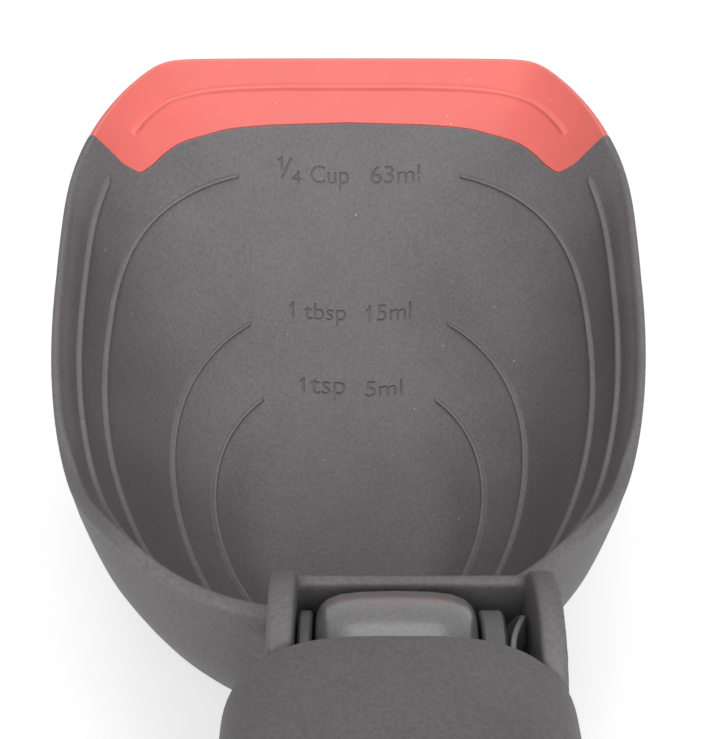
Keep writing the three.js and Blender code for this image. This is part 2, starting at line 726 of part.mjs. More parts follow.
// Screw posts, screws and the hanging eye.
const screws = screwAts.map((at) => {
  const y = -at * HANDLE_L;
  const z = droop(y);
  const size = sizeAt(at);
  const headLow = z - size.low + 0.5;
  const headHigh = headLow + SCREW_HEAD_T;
  const postHigh = z + size.top - SHELL_T / 2;
  const end = z + Math.min(size.top - SHELL_T - 0.4, barHalf + 3.0);
  upperShell = upperShell.add(rodZ(3.6, z + barHalf + GAP, postHigh, 0, y));
  upperShell = upperShell.subtract(rodZ(SCREW_R + GAP, z, end + GAP, 0, y));
  lowerShell = lowerShell.add(rodZ(4.4, z - size.low + SHELL_T / 2, z - barHalf - GAP, 0, y));
  lowerShell = lowerShell.subtract(rodZ(SCREW_HEAD_R + GAP, headLow - 5, headHigh + GAP, 0, y));
  lowerShell = lowerShell.subtract(rodZ(SCREW_R + GAP, headLow, z, 0, y));
  core = core.subtract(rodZ(SCREW_R + GAP, z - 10, z + 10, 0, y));
  const drive = rodZ(1.1, headLow - 1, headLow + 0.9, 0, y, 6);
  return rodZ(SCREW_HEAD_R, headLow, headHigh, 0, y)
    .add(rodZ(SCREW_R, headHigh - 0.5, end, 0, y))
    .subtract(drive);
});

const eyeSize = sizeAt(eyeAt);
const eyeMid = droop(eyeY);
const eyeTop = eyeMid + eyeSize.top - 0.7;
const eyeLow = eyeMid - eyeSize.low + 0.7;
upperShell = upperShell.add(rodZ(eyeOut + 2.6, eyeMid + GAP / 2, eyeTop - 0.3, 0, eyeY));
lowerShell = lowerShell.add(rodZ(eyeOut + 2.6, eyeLow + 0.3, eyeMid - GAP / 2, 0, eyeY));
const eyeBore = rodZ(eyeOut + GAP, eyeMid - 30, eyeMid + 30, 0, eyeY, 28);
const flangeR = eyeOut + 1.6;
upperShell = upperShell.subtract(eyeBore);
upperShell = upperShell.subtract(rodZ(flangeR + GAP, eyeTop - GAP, eyeMid + 30, 0, eyeY, 28));
lowerShell = lowerShell.subtract(eyeBore);
lowerShell = lowerShell.subtract(rodZ(flangeR + GAP, eyeMid - 30, eyeLow + GAP, 0, eyeY, 28));
let eyelet = rodZ(eyeOut, eyeLow - 0.6, eyeTop + 0.6, 0, eyeY, 28);
eyelet = eyelet.add(rodZ(flangeR, eyeTop, eyeTop + 0.8, 0, eyeY, 28));
eyelet = eyelet.add(rodZ(flangeR, eyeLow - 0.8, eyeLow, 0, eyeY, 28));
eyelet = eyelet.subtract(rodZ(EYE_R, eyeMid - 30, eyeMid + 30, 0, eyeY, 28));

upperShell = upperShell.subtract(shoulderCut);
lowerShell = lowerShell.subtract(shoulderCut);
const coreRoom = block(
  -TONGUE_W / 2 - GAP,
  TONGUE_W / 2 + GAP,
  -rootInside * HANDLE_L - GAP,
  0,
  -6 - GAP,
  6.5 + GAP,
);
upperShell = upperShell.subtract(coreRoom);
lowerShell = lowerShell.subtract(coreRoom);

// Lay the spoon back until the bowl and the handle rest on one level line.
const lift = THREE.MathUtils.degToRad(HANDLE_ANGLE);
const handleTurn = new THREE.Matrix4()
  .makeTranslation(HINGE_X, pinY, pinZ)
  .multiply(new THREE.Matrix4().makeRotationX(-lift));

function cloud(manifold, matrix) {
  const points = geometryOf(manifold).getAttribute("position");
  const list = [];
  for (let i = 0; i < points.count; i++) {
    list.push(new THREE.Vector3().fromBufferAttribute(points, i).applyMatrix4(matrix));
  }
  return list;
}

function lowest(points, tilt) {
  let least = Infinity;
  for (const p of points) least = Math.min(least, p.y * Math.sin(tilt) + p.z * Math.cos(tilt));
  return least;
}

const bowlPoints = cloud(bowl, new THREE.Matrix4());
const handlePoints = cloud(lowerShell, handleTurn);
let tiltLow = 0;
let tiltHigh = Math.PI / 3;
for (let i = 0; i < 40; i++) {
  const middle = (tiltLow + tiltHigh) / 2;
  if (lowest(handlePoints, middle) > lowest(bowlPoints, middle) + FOOT_CUT) tiltLow = middle;
  else tiltHigh = middle;
}
const tilt = (tiltLow + tiltHigh) / 2;
const tableLevel = lowest(bowlPoints, tilt) + FOOT_CUT;
const reach = HEAD_L + HANDLE_L;
const under = new THREE.BoxGeometry(reach, reach, reach);
under.translate(0, 0, tableLevel - reach / 2);
under.rotateX(-tilt);
bowl = bowl.subtract(outward(under));

// Scene.
function paint(colour, roughness, metalness) {
  return new THREE.MeshStandardMaterial({ color: colour, roughness, metalness });
}

function place(parent, name, manifold, material) {
  const mesh = new THREE.Mesh(geometryOf(manifold), material);
  mesh.name = name;
  parent.add(mesh);
  return mesh;
}

const spoon = new THREE.Group();
spoon.name = "measuring_spoon";
const laid = new THREE.Group();
laid.rotation.x = tilt;
spoon.add(laid);

const head = new THREE.Group();
laid.add(head);
place(head, "bowl", bowl, paint(0x5a585c, 0.62, 0.0));
place(head, "scraper_lip", lip, paint(0xf2574f, 0.55, 0.0));

const hinge = new THREE.Group();
hinge.position.set(HINGE_X, pinY, pinZ);
laid.add(hinge);
const pinMesh = place(hinge, "hinge_pin", pin, paint(0xb9bcc0, 0.3, 1.0));
pinMesh.position.x = CLEVIS_SHIFT;
const rightCap = place(hinge, "pin_cap_right", capRight, paint(0x4c4a4e, 0.6, 0.0));
rightCap.position.x = CLEVIS_SHIFT + CLEVIS_IN / 2 + EAR_T - CAP_T - 0.1;
const leftCap = place(hinge, "pin_cap_left", capRight, paint(0x4c4a4e, 0.6, 0.0));
leftCap.rotation.y = Math.PI;
leftCap.position.x = 2 * CLEVIS_SHIFT - rightCap.position.x;
const spring = place(hinge, "wave_spring", waveSpring, paint(0x56565a, 0.4, 1.0));
spring.position.x = CLEVIS_SHIFT + CLEVIS_IN / 2 - GAP - springRoom;

const handle = new THREE.Group();
handle.position.copy(hinge.position);
handle.rotation.x = -lift;
laid.add(handle);
place(handle, "handle_core", core, paint(0x5a585c, 0.62, 0.0));
place(handle, "handle_upper_shell", upperShell, paint(0x5a585c, 0.62, 0.0));
place(handle, "handle_lower_shell", lowerShell, paint(0x5a585c, 0.62, 0.0));
place(handle, "tongue_bush", bush, paint(0x474648, 0.5, 0.0));
const collarMesh = place(handle, "spacer_collar", collar, paint(0x474648, 0.5, 0.0));
collarMesh.position.x = CLEVIS_SHIFT - CLEVIS_IN / 2 + GAP;
const washerMesh = place(handle, "pressure_washer", washer, paint(0x56565a, 0.4, 1.0));
washerMesh.position.x = TONGUE_W / 2 + GAP;
["handle_screw_front", "handle_screw_middle", "handle_screw_rear"].forEach((name, i) => {
  place(handle, name, screws[i], paint(0xb9bcc0, 0.32, 1.0));
});
place(handle, "hang_eyelet", eyelet, paint(0xb9bcc0, 0.28, 1.0));

// Origin under the middle of the spoon, on the table.
spoon.updateMatrixWorld(true);
const box = new THREE.Box3().setFromObject(spoon, true);
laid.position.set(-(box.min.x + box.max.x) / 2, -(box.min.y + box.max.y) / 2, -box.min.z);
spoon.updateMatrixWorld(true);

export default spoon;
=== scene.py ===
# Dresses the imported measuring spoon: a deep grey nylon bowl with a red scraping lip, and a handle
# that tilts on a cross pin. Lengths are drawn in millimetres and laid into the part's own frame.
import math

import bmesh
import bpy
import numpy as np
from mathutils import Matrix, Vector
from mathutils.bvhtree import BVHTree


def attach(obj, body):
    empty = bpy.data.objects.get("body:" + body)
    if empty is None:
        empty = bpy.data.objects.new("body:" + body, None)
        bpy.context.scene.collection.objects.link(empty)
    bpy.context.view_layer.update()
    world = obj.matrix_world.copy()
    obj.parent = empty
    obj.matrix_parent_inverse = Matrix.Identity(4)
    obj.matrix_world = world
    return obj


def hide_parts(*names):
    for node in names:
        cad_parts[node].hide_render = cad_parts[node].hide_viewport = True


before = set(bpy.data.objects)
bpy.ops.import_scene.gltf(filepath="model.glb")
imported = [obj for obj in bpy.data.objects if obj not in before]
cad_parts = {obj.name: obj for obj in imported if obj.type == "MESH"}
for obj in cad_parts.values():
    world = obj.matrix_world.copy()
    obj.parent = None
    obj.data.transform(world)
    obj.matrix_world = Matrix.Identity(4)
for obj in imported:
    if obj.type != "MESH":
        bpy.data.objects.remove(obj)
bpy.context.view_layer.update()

# Bowl. The head is injection moulded in dark grey nylon with a fine eroded texture.
# Its measure lines are raised strips in the wall that stop short of the lettering in front,
# and the rim is a rolled edge.
BOWL_WIDTH = 82.2
HEAD_LENGTH = 105.6
BOWL_DEPTH = 33.0
RIM_WALL = 1.9
FLOOR_WALL = 2.9
RIM_ROLL = 0.55
RIM_TRIM = 0.11
FULLER_ROLL = 0.4
FULLER_EASE = 0.6
HEEL_RISE = 10.0
HEEL_SWELL = 3.0
HALF_WIDTH = BOWL_WIDTH / 2
HEEL = -0.4688 * HEAD_LENGTH
TIP = HEEL + HEAD_LENGTH
FLOOR_MIDDLE = np.array([0, -0.1 * HEAD_LENGTH, -BOWL_DEPTH])
LAID_BACK = math.radians(30.067556)
HEAD_PLACE = np.array([0.0, 101.85777, 44.36792])


def turned_about_x(points, angle):
    """Points turned about the X axis."""
    out = np.array(points, float)
    y = out[..., 1].copy()
    z = out[..., 2].copy()
    out[..., 1] = math.cos(angle) * y - math.sin(angle) * z
    out[..., 2] = math.sin(angle) * y + math.cos(angle) * z
    return out


def on_table(points):
    """Points drawn with the rim level, in millimetres, as the head lies on the table, in metres."""
    return (turned_about_x(points, LAID_BACK) + HEAD_PLACE) * 0.001


# Level lines of the inside, from the floor up: depth, half width, the widest place, front reach,
# back reach, and how square the front and the back are. Lengths are shares of the bowl's own.
LEVEL_LINES = [
    (0.988, 0.32, -0.095, 0.03, -0.268, 2.4, 2.0),
    (0.86, 0.4857, -0.062, 0.1419, -0.3267, 2.143, 1.838),
    (0.712, 0.6279, -0.0176, 0.2467, -0.3833, 2.112, 1.869),
    (0.32, 0.8442, 0.0751, 0.4026, -0.4258, 2.765, 2.086),
]


def level_outline(angles, depth, wide, middle, front, back, front_power, back_power):
    """One level line of the bowl's inside."""
    c = np.abs(np.cos(angles)) / (wide * HALF_WIDTH)
    ahead = np.sin(angles) >= 0
    reach = np.where(ahead, front - middle, middle - back) * HEAD_LENGTH
    power = np.where(ahead, front_power, back_power)
    s = np.abs(np.sin(angles)) / reach
    r = (c**power + s**power) ** (-1 / power)
    x = r * np.cos(angles)
    y = middle * HEAD_LENGTH + r * np.sin(angles)
    return np.stack([x, y, np.full_like(x, -depth * BOWL_DEPTH)], axis=-1)


def eased(share):
    """Nought to one with a soft start and end."""
    share = np.clip(share, 0, 1)
    return share * share * (3 - 2 * share)


def rim_outline(angles, inset):
    """The rim: round sides, a heel that sweeps up to the neck, a straight scraping edge and two corners."""
    middle = 0.1 * HEAD_LENGTH
    widest = 0.2106 * HEAD_LENGTH
    front = 0.6309 * HEAD_LENGTH
    crisp = 60.0
    outer_corner = np.array([1.0955 * HALF_WIDTH, 0.5067 * HEAD_LENGTH])
    inner_corner = np.array([0.7096 * HALF_WIDTH, 0.5431 * HEAD_LENGTH])
    along = (inner_corner - outer_corner) / np.linalg.norm(inner_corner - outer_corner)
    facing = np.array([along[1], -along[0]])
    corner_reach = facing @ (outer_corner - np.array([0, middle]))
    c = np.abs(np.cos(angles))
    s = np.sin(angles)
    side = np.full_like(angles, HALF_WIDTH)
    for _ in range(30):
        dy = middle + side * s - widest
        reach = np.where(dy >= 0, front - widest, widest - HEEL)
        power = np.where(dy >= 0, 2.2875, 2.53)
        part = np.minimum(np.abs(dy) / reach, 0.9999) ** power
        level = ((side * c / HALF_WIDTH) ** power + part) ** (1 / power)
        side = side * (1 / level) ** 0.7
    blend = (side / HALF_WIDTH) ** -crisp
    ahead = s > 0.02
    blend[ahead] += ((TIP - middle) / s[ahead] / HALF_WIDTH) ** -crisp
    to_corner = c * facing[0] + s * facing[1]
    cornered = to_corner > 0.02
    blend[cornered] += (corner_reach / to_corner[cornered] / HALF_WIDTH) ** -crisp
    r = HALF_WIDTH * blend ** (-1 / crisp) - inset * (1 - 0.5 * np.maximum(s, 0))
    y = middle + r * s
    rise = HEEL_RISE * eased((-0.2 * HEAD_LENGTH - y) / (0.18 * HEAD_LENGTH))
    return np.stack([r * np.cos(angles), y, rise], axis=-1)


def wall_points(angles, up):
    """The bowl's inside: up runs from 0 at the floor's middle to 1 at the rim, a row per angle."""
    knots = [np.zeros((len(angles), 3)) + FLOOR_MIDDLE]
    knots += [level_outline(angles, *line) for line in LEVEL_LINES]
    knots.append(rim_outline(angles, RIM_WALL))
    knots = [2 * knots[0] - knots[1]] + knots + [2 * knots[-1] - knots[-2]]
    knots = np.stack(knots, axis=1)
    spans = knots.shape[1] - 3
    k = np.clip(np.floor(up * spans).astype(int), 0, spans - 1)
    t = (up * spans - k)[..., None]
    row = np.arange(len(angles))[:, None]
    p0, p1, p2, p3 = [knots[row, k + i] for i in range(4)]
    d0, d1, d2 = [
        np.sqrt(np.linalg.norm(b - a, axis=-1, keepdims=True)) for a, b in [(p0, p1), (p1, p2), (p2, p3)]
    ]
    leave = ((p1 - p0) / d0 - (p2 - p0) / (d0 + d1) + (p2 - p1) / d1) * d1
    arrive = ((p2 - p1) / d1 - (p3 - p1) / (d1 + d2) + (p3 - p2) / d2) * d1
    cubic = 2 * p1 - 2 * p2 + leave + arrive
    square = -3 * p1 + 3 * p2 - 2 * leave - arrive
    return p1 + leave * t + square * t**2 + cubic * t**3


def wall_upward(angles, up):
    """Direction up the wall, and how many millimetres one unit of up is there."""
    near = 0.004
    step = wall_points(angles, up + near) - wall_points(angles, up - near)
    length = np.linalg.norm(step, axis=-1, keepdims=True)
    return step / length, length / (2 * near)


def wall_normal(angles, up):
    """Direction out of the wall into the bowl."""
    flat_below = 0.03
    beside = 0.01
    off_floor = np.maximum(up, flat_below)
    upward, _ = wall_upward(angles, off_floor)
    around = wall_points(angles + beside, off_floor) - wall_points(angles - beside, off_floor)
    normal = np.cross(upward, around)
    normal /= np.linalg.norm(normal, axis=-1, keepdims=True)
    normal[up < flat_below] = [0, 0, 1]
    return normal


def wall_thickness(angles, up):
    """The wall thins towards the rim, and swells low on the heel where the neck carries the bowl."""
    thin = FLOOR_WALL + (RIM_WALL - RIM_TRIM - FLOOR_WALL) * up**2
    at_heel = HEEL_SWELL * eased((-np.sin(angles) - 0.45) / 0.6)
    swell = np.interp(up, [0.5, 0.7, 0.8, 0.88, 0.95, 1], [0, 0.7, 1, 1, 0.6, 0])
    return (thin + at_heel[:, None] * swell)[..., None]


def smooth_through(at, knots, values):
    """A smooth curve through the values at the knots that doesn't overshoot them."""
    knots = np.array(knots, float)
    values = np.array(values, float)
    gap = np.diff(knots)
    rise = np.diff(values) / gap
    slope = np.concatenate([rise[:1], np.zeros(len(knots) - 2), rise[-1:]])
    for k in range(1, len(knots) - 1):
        if rise[k - 1] * rise[k] > 0:
            before = 2 * gap[k] + gap[k - 1]
            after = gap[k] + 2 * gap[k - 1]
            slope[k] = (before + after) / (before / rise[k - 1] + after / rise[k])
    k = np.clip(np.searchsorted(knots, at, side="right") - 1, 0, len(gap) - 1)
    t = (at - knots[k]) / gap[k]
    return (
        values[k] * (1 + 2 * t) * (1 - t) ** 2
        + slope[k] * gap[k] * t * (1 - t) ** 2
        + values[k + 1] * t**2 * (3 - 2 * t)
        + slope[k + 1] * gap[k] * t**2 * (t - 1)
    )


# Seam between the bowl and the lip in plan: share of the half width, share of the head's length.
SEAM = [
    (0, 0.4525),
    (0.25, 0.4495),
    (0.437, 0.442),
    (0.56, 0.4275),
    (0.64, 0.4105),
    (0.7, 0.3865),
    (0.745, 0.3625),
    (0.785, 0.348),
    (0.83, 0.3475),
    (0.87, 0.353),
    (0.95, 0.3625),
    (1.15, 0.39),
]
SEAM_GAP = 0.22


def seam_height(angles):
    """Where each line up the wall crosses the lip's seam, or 2 where it runs up to the bowl's own rim."""
    up = np.linspace(0.7, 1, 401)
    points = wall_points(angles, np.tile(up, (len(angles), 1)))
    across = np.minimum(np.abs(points[..., 0]) / HALF_WIDTH, 1.149)
    line = smooth_through(across, [p[0] for p in SEAM], [p[1] for p in SEAM]) * HEAD_LENGTH
    past = points[..., 1] - line
    found = np.full(len(angles), 2.0)
    for j in np.nonzero(past[:, -1] > 0)[0]:
        k = np.nonzero(past[j] <= 0)[0][-1]
        share = -past[j, k] / (past[j, k + 1] - past[j, k])
        found[j] = up[k] + share * (up[k + 1] - up[k])
    return found


def in_scene(name, data):
    """A new object of the scene."""
    made = bpy.data.objects.new(name, data)
    bpy.context.scene.collection.objects.link(made)
    return made


def make_piece(name, points, faces, material):
    """A mesh piece from points in metres, with its faces turned outward and shaded smooth."""
    mesh = bpy.data.meshes.new(name)
    mesh.from_pydata([tuple(p) for p in points], [], faces)
    shell = bmesh.new()
    shell.from_mesh(mesh)
    bmesh.ops.recalc_face_normals(shell, faces=shell.faces)
    shell.to_mesh(mesh)
    shell.free()
    piece = in_scene(name, mesh)
    piece.data.materials.append(material)
    finish_edges(piece)
    return piece


def finish_edges(piece, sharp=38):
    """Smooth shading with sharp edges kept, and a wear and painted highlight value on outward bends."""
    mesh = piece.data
    mesh.polygons.foreach_set("use_smooth", [True] * len(mesh.polygons))
    mesh.set_sharp_from_angle(angle=math.radians(sharp))
    spots = np.empty(len(mesh.vertices) * 3)
    mesh.vertices.foreach_get("co", spots)
    normals = np.empty(len(mesh.vertices) * 3)
    mesh.vertex_normals.foreach_get("vector", normals)
    ends = np.empty(len(mesh.edges) * 2, int)
    mesh.edges.foreach_get("vertices", ends)
    spots, normals, ends = spots.reshape(-1, 3), normals.reshape(-1, 3), ends.reshape(-1, 2)
    bend = np.zeros(len(spots))
    meet = np.zeros(len(spots))
    for here, there in [(0, 1), (1, 0)]:
        step = spots[ends[:, there]] - spots[ends[:, here]]
        length = np.maximum((step**2).sum(axis=1), 1e-12)
        fall = -(step * normals[ends[:, here]]).sum(axis=1) / length
        np.add.at(bend, ends[:, here], fall)
        np.add.at(meet, ends[:, here], 1)
    per_millimetre = 0.002 * bend / np.maximum(meet, 1)
    wear_and_highlight = mesh.attributes.new("wear_and_highlight", "FLOAT", "POINT")
    wear_and_highlight.data.foreach_set("value", np.clip((per_millimetre - 0.3) / 1.5, 0, 1))


def ring_faces(rows, columns, closed_rows=False):
    """Quads over a grid that wraps round its columns."""
    faces = []
    for k in range(rows if closed_rows else rows - 1):
        low = k * columns
        high = ((k + 1) % rows) * columns
        for j in range(columns):
            to = (j + 1) % columns
            faces.append((low + j, low + to, high + to, high + j))
    return faces


def closed_rings(rings, first_point, last_point):
    """Points and faces of a body of rings that closes to a point at each end."""
    count = len(rings[0])
    points = np.concatenate([*rings, [first_point, last_point]])
    faces = ring_faces(len(rings), count)
    last_ring = (len(rings) - 1) * count
    for j in range(count):
        to = (j + 1) % count
        faces.append((len(points) - 2, to, j))
        faces.append((len(points) - 1, last_ring + j, last_ring + to))
    return points, faces


def node(material, kind, **values):
    """A new shader node with its settings, and its inputs given by name."""
    made = material.node_tree.nodes.new("ShaderNode" + kind)
    for name, value in values.items():
        if name in made.inputs:
            made.inputs[name].default_value = value
        else:
            setattr(made, name, value)
    return made


def link(source, socket):
    """Leads one node's output into another's socket."""
    source.id_data.links.new(source, socket)


def plain_material(name):
    """A new material, its shader, and the place on the piece."""
    material = bpy.data.materials.new(name)
    material.use_nodes = True
    place = node(material, "TexCoord").outputs["Object"]
    return material, material.node_tree.nodes["Principled BSDF"], place


def ranged(material, source, low, high, start=0.0, end=1.0):
    """A value that runs from low to high while its source runs from start to end."""
    ends = {"From Min": start, "From Max": end, "To Min": low, "To Max": high}
    spread = node(material, "MapRange", **ends)
    link(source, spread.inputs["Value"])
    return spread.outputs["Result"]


def two_tone(material, source, colour, shares, places):
    """A colour that runs from a darker share of itself to a paler one with a texture."""
    ramp = node(material, "ValToRGB")
    for stop, share, place in zip(ramp.color_ramp.elements, shares, places):
        stop.position = place
        stop.color = [min(c * share, 1) for c in colour] + [1]
    link(source, ramp.inputs["Fac"])
    return ramp.outputs["Color"]


def laid_over(material, share, under, over):
    """A plain colour laid over another by a share."""
    mix = node(material, "Mix", data_type="RGBA")
    mix.inputs["B"].default_value = [*over, 1]
    link(share, mix.inputs["Factor"])
    link(under, mix.inputs["A"])
    return mix.outputs["Result"]


def worn_and_lit_edges(material, colour, share, pale):
    """A colour made paler where the surface bends outward: edge wear and a painted highlight."""
    worn_and_lit = node(material, "Math", operation="MULTIPLY")
    worn_and_lit.inputs[1].default_value = share
    wear_and_highlight = node(material, "Attribute", attribute_name="wear_and_highlight").outputs["Fac"]
    link(wear_and_highlight, worn_and_lit.inputs[0])
    return laid_over(material, worn_and_lit.outputs["Value"], colour, pale)


def raised(material, shader, height, strength, distance):
    """Fine relief on a material."""
    bump = node(material, "Bump", Strength=strength, Distance=distance)
    link(height, bump.inputs["Height"])
    link(bump.outputs["Normal"], shader.inputs["Normal"])


def moulded_nylon(name, colour, roughness, dust):
    """Textured nylon: mottled colour, eroded grain, paler edges and a few specks of dust."""
    material, shader, place = plain_material(name)
    mottle = node(material, "TexNoise", Scale=70.0, Detail=4.0, Roughness=0.6)
    grain = node(material, "TexNoise", Scale=2300.0, Detail=2.0, Roughness=0.55)
    pits = node(material, "TexVoronoi", Scale=2600.0)
    specks = node(material, "TexVoronoi", Scale=230.0)
    for texture in (mottle, grain, pits, specks):
        link(place, texture.inputs["Vector"])
    grained = node(material, "VectorMath", operation="SCALE")
    link(two_tone(material, mottle.outputs["Fac"], colour, (0.9, 1.12), (0.3, 0.7)), grained.inputs[0])
    link(ranged(material, grain.outputs["Fac"], 0.84, 1.16, 0.3, 0.7), grained.inputs["Scale"])
    edged = worn_and_lit_edges(material, grained.outputs["Vector"], 0.25, [min(c * 2.2, 1) for c in colour])
    spots = ranged(material, specks.outputs["Distance"], dust, 0.0, 0.022, 0.034)
    link(laid_over(material, spots, edged, (0.55, 0.54, 0.53)), shader.inputs["Base Color"])
    sheen = ranged(material, mottle.outputs["Fac"], roughness - 0.07, roughness + 0.07)
    link(sheen, shader.inputs["Roughness"])
    shader.inputs["Specular IOR Level"].default_value = 0.42
    rough = node(material, "Math", operation="MULTIPLY_ADD")
    rough.inputs[1].default_value = 0.6
    link(grain.outputs["Fac"], rough.inputs[0])
    link(pits.outputs["Distance"], rough.inputs[2])
    raised(material, shader, rough.outputs["Value"], 0.22, 0.00006)
    return material


# The bowl's grey is set paler than the handle's: its own dark grey, raised a little as painted light.
bowl_nylon_with_painted_light = moulded_nylon("bowl_nylon_with_painted_light", (0.14, 0.134, 0.138), 0.6, 0.75)

# Columns lie close together at the front, where the strips end and the seam turns.
bowl_angles = np.radians(
    np.concatenate(
        [
            np.arange(28, 84, 0.35),
            np.arange(84, 96, 0.8),
            np.arange(96, 152, 0.35),
            np.arange(152, 388, 1.0),
        ]
    )
)
columns = len(bowl_angles)

# Measure lines: place up the wall, half the gap in front, and where the line fades out.
MEASURE_LINES = [
    (0.4, 0.32 * HALF_WIDTH, None),
    (0.6, 0.372 * HALF_WIDTH, None),
    (0.8, 0.422 * HALF_WIDTH, None),
    (0.93, 0.5 * HALF_WIDTH, 0.318 * HEAD_LENGTH),
]
STRIP_HEIGHT = 0.55
STRIP_END = 0.18
STRIP_FADE = 1.5
STRIP_SHAPE = [
    (-1.05, 0),
    (-0.66, 0),
    (-0.56, 0.08),
    (-0.46, 0.5),
    (-0.36, 0.92),
    (-0.27, 1),
    (-0.1, 0.9),
    (0.02, 0.76),
    (0.12, 0.44),
    (0.21, 0.11),
    (0.3, 0),
    (0.6, 0),
]
FREE_TOP = 0.84
PLAIN_HEIGHTS = np.concatenate(
    [
        np.linspace(0.03, 0.36, 12),
        np.linspace(0.44, 0.565, 5),
        np.linspace(0.64, 0.765, 6),
        [0.84, 0.86, 0.88, 0.9, 0.95, 0.96, 0.97, 0.98, 0.99, 1.0],
    ]
)
# The rim is fuller along the sides. Degrees: growing behind the lip, fading, and gone, from the front.
FULLER_GROWS = 9
FULLER_FADES = 12
FULLER_GONE = 135
seam_at = seam_height(bowl_angles)
under_lip = seam_at < 1.5
_, seam_scale = wall_upward(bowl_angles, np.minimum(seam_at, 1)[:, None])
from_front = np.abs((np.degrees(bowl_angles) + 90) % 360 - 180)
past_lip = from_front - from_front[under_lip].max()
full_round = eased(past_lip / FULLER_GROWS) * eased((FULLER_GONE - from_front) / FULLER_FADES)
bowl_top = np.where(
    under_lip,
    seam_at - SEAM_GAP / 2 / seam_scale[:, 0, 0],
    1 - FULLER_ROLL * full_round / seam_scale[:, 0, 0],
)


def below_seam(up):
    """Heights squeezed together under the lip, so that the top row follows the seam."""
    squeezed = FREE_TOP + (up - FREE_TOP) * (bowl_top - FREE_TOP) / (1 - FREE_TOP)
    return np.where(up > FREE_TOP, squeezed, up)


rows = [(height, np.full(columns, height), np.zeros(columns)) for height in PLAIN_HEIGHTS]
for place, gap, fade in MEASURE_LINES:
    _, scale = wall_upward(bowl_angles, np.full((columns, 1), place))
    for shift, height in STRIP_SHAPE:
        up = place + shift / scale[:, 0, 0]
        point = wall_points(bowl_angles, up[:, None])[:, 0]
        share = np.clip((np.abs(point[:, 0]) - gap) / STRIP_END, 0, 1)
        share[point[:, 1] < 0] = 1
        if fade:
            share *= np.clip((fade - point[:, 1]) / STRIP_FADE, 0, 1)
        rows.append((place + shift * 0.001, up, height * STRIP_HEIGHT * share))
rows.sort(key=lambda row: row[0])
inner_up = np.stack([below_seam(row[1]) for row in rows], axis=1)
inner_lift = np.stack([row[2] for row in rows], axis=1)[..., None]
eased_edge = FULLER_EASE * full_round[:, None] * np.clip((inner_up - 0.95) / 0.05, 0, 1) ** 2
inner_lift = inner_lift - eased_edge[..., None]
inner = wall_points(bowl_angles, inner_up) + wall_normal(bowl_angles, inner_up) * inner_lift

outer_heights = np.concatenate([[1.0, 0.985, 0.96], np.linspace(0.92, 0.06, 40)])
outer_up = np.stack([below_seam(np.full(columns, h)) for h in outer_heights], axis=1)
outer = wall_points(bowl_angles, outer_up)
outer -= wall_normal(bowl_angles, outer_up) * wall_thickness(bowl_angles, outer_up)

# The top edge runs from the inside to the outside: a roll at the rim, a square wall at the seam.
top_turn = np.linspace(0, math.pi, 13)[1:-1]
roll_across = np.cos(top_turn)
roll_rise = RIM_ROLL * np.sin(top_turn)
seam_across = np.array([0.99, 0.94, 0.85, 0.6, 0.3, 0, -0.3, -0.6, -0.85, -0.94, -0.99])
seam_rise = -0.07 * np.abs(seam_across) ** 10
upward, _ = wall_upward(bowl_angles, bowl_top[:, None])
edge_middle = (inner[:, -1] + outer[:, 0]) / 2
edge_half = (inner[:, -1] - outer[:, 0]) / 2
edge = []
for k in range(len(top_turn)):
    across = np.where(under_lip, seam_across[k], roll_across[k])[:, None]
    full_rise = roll_rise[k] + FULLER_ROLL * full_round * math.sin(top_turn[k])
    rise = np.where(under_lip, seam_rise[k], full_rise)[:, None]
    edge.append(edge_middle + edge_half * across + upward[:, 0] * rise)

bowl_rows = list(np.swapaxes(inner, 0, 1)) + edge + list(np.swapaxes(outer, 0, 1))
bowl_points, bowl_faces = closed_rings(bowl_rows, FLOOR_MIDDLE, FLOOR_MIDDLE - [0, 0, FLOOR_WALL])
bowl_points = on_table(bowl_points)
bowl_points[:, 2] = np.maximum(bowl_points[:, 2], 0)
bowl = make_piece("bowl", bowl_points, bowl_faces, bowl_nylon_with_painted_light)

# Neck and ears. They are moulded in one with the bowl: a root that runs down the heel, a deck
# beside the rim, and two ears that take the cross pin, with soft fillets where the walls meet.
HINGE_X = 5.0
EARS_MIDDLE = HINGE_X + 1.7
EARS_APART = 23.8
EAR_WALL = 2.6
EAR_RADIUS = 11.0
EAR_LEFT = EARS_MIDDLE - EARS_APART / 2 - EAR_WALL
EAR_RIGHT = EARS_MIDDLE + EARS_APART / 2 + EAR_WALL
CLEARANCE = 0.3
PIN_RADIUS = 2.5
CAP_RADIUS = 4.2
CAP_THICK = 1.5
TONGUE_RADIUS = 8.9
HEEL_FACE = HEEL + RIM_WALL - 0.1
SLOT_FACE = HEEL_FACE - 1.5
PIN_Y = SLOT_FACE - 0.4 - TONGUE_RADIUS
PIN_Z = 15.4
FRONT_TOP = PIN_Z + 2.8
SLOT_FLOOR = PIN_Z - TONGUE_RADIUS - 0.5


def loft(name, loops, lay, material):
    """A closed piece through loops of as many points each, with a face over each end."""
    count = len(loops[0])
    faces = ring_faces(len(loops), count)
    faces.append(tuple(range(count)))
    faces.append(tuple(range((len(loops) - 1) * count, len(loops) * count)))
    return make_piece(name, lay(np.array(loops, float).reshape(-1, 3)), faces, material)


def fit(piece, body, cad_node):
    """Lets a piece ride a body in place of its plain solid."""
    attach(piece, body)
    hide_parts(cad_node)


def bar(name, outline, low, high, along, lay, material):
    """A closed bar: an outline of pairs pulled from low to high along X, Y or Z (0, 1 or 2)."""
    loops = [[np.insert(np.array(pair, float), along, level) for pair in outline] for level in (low, high)]
    return loft(name, loops, lay, material)


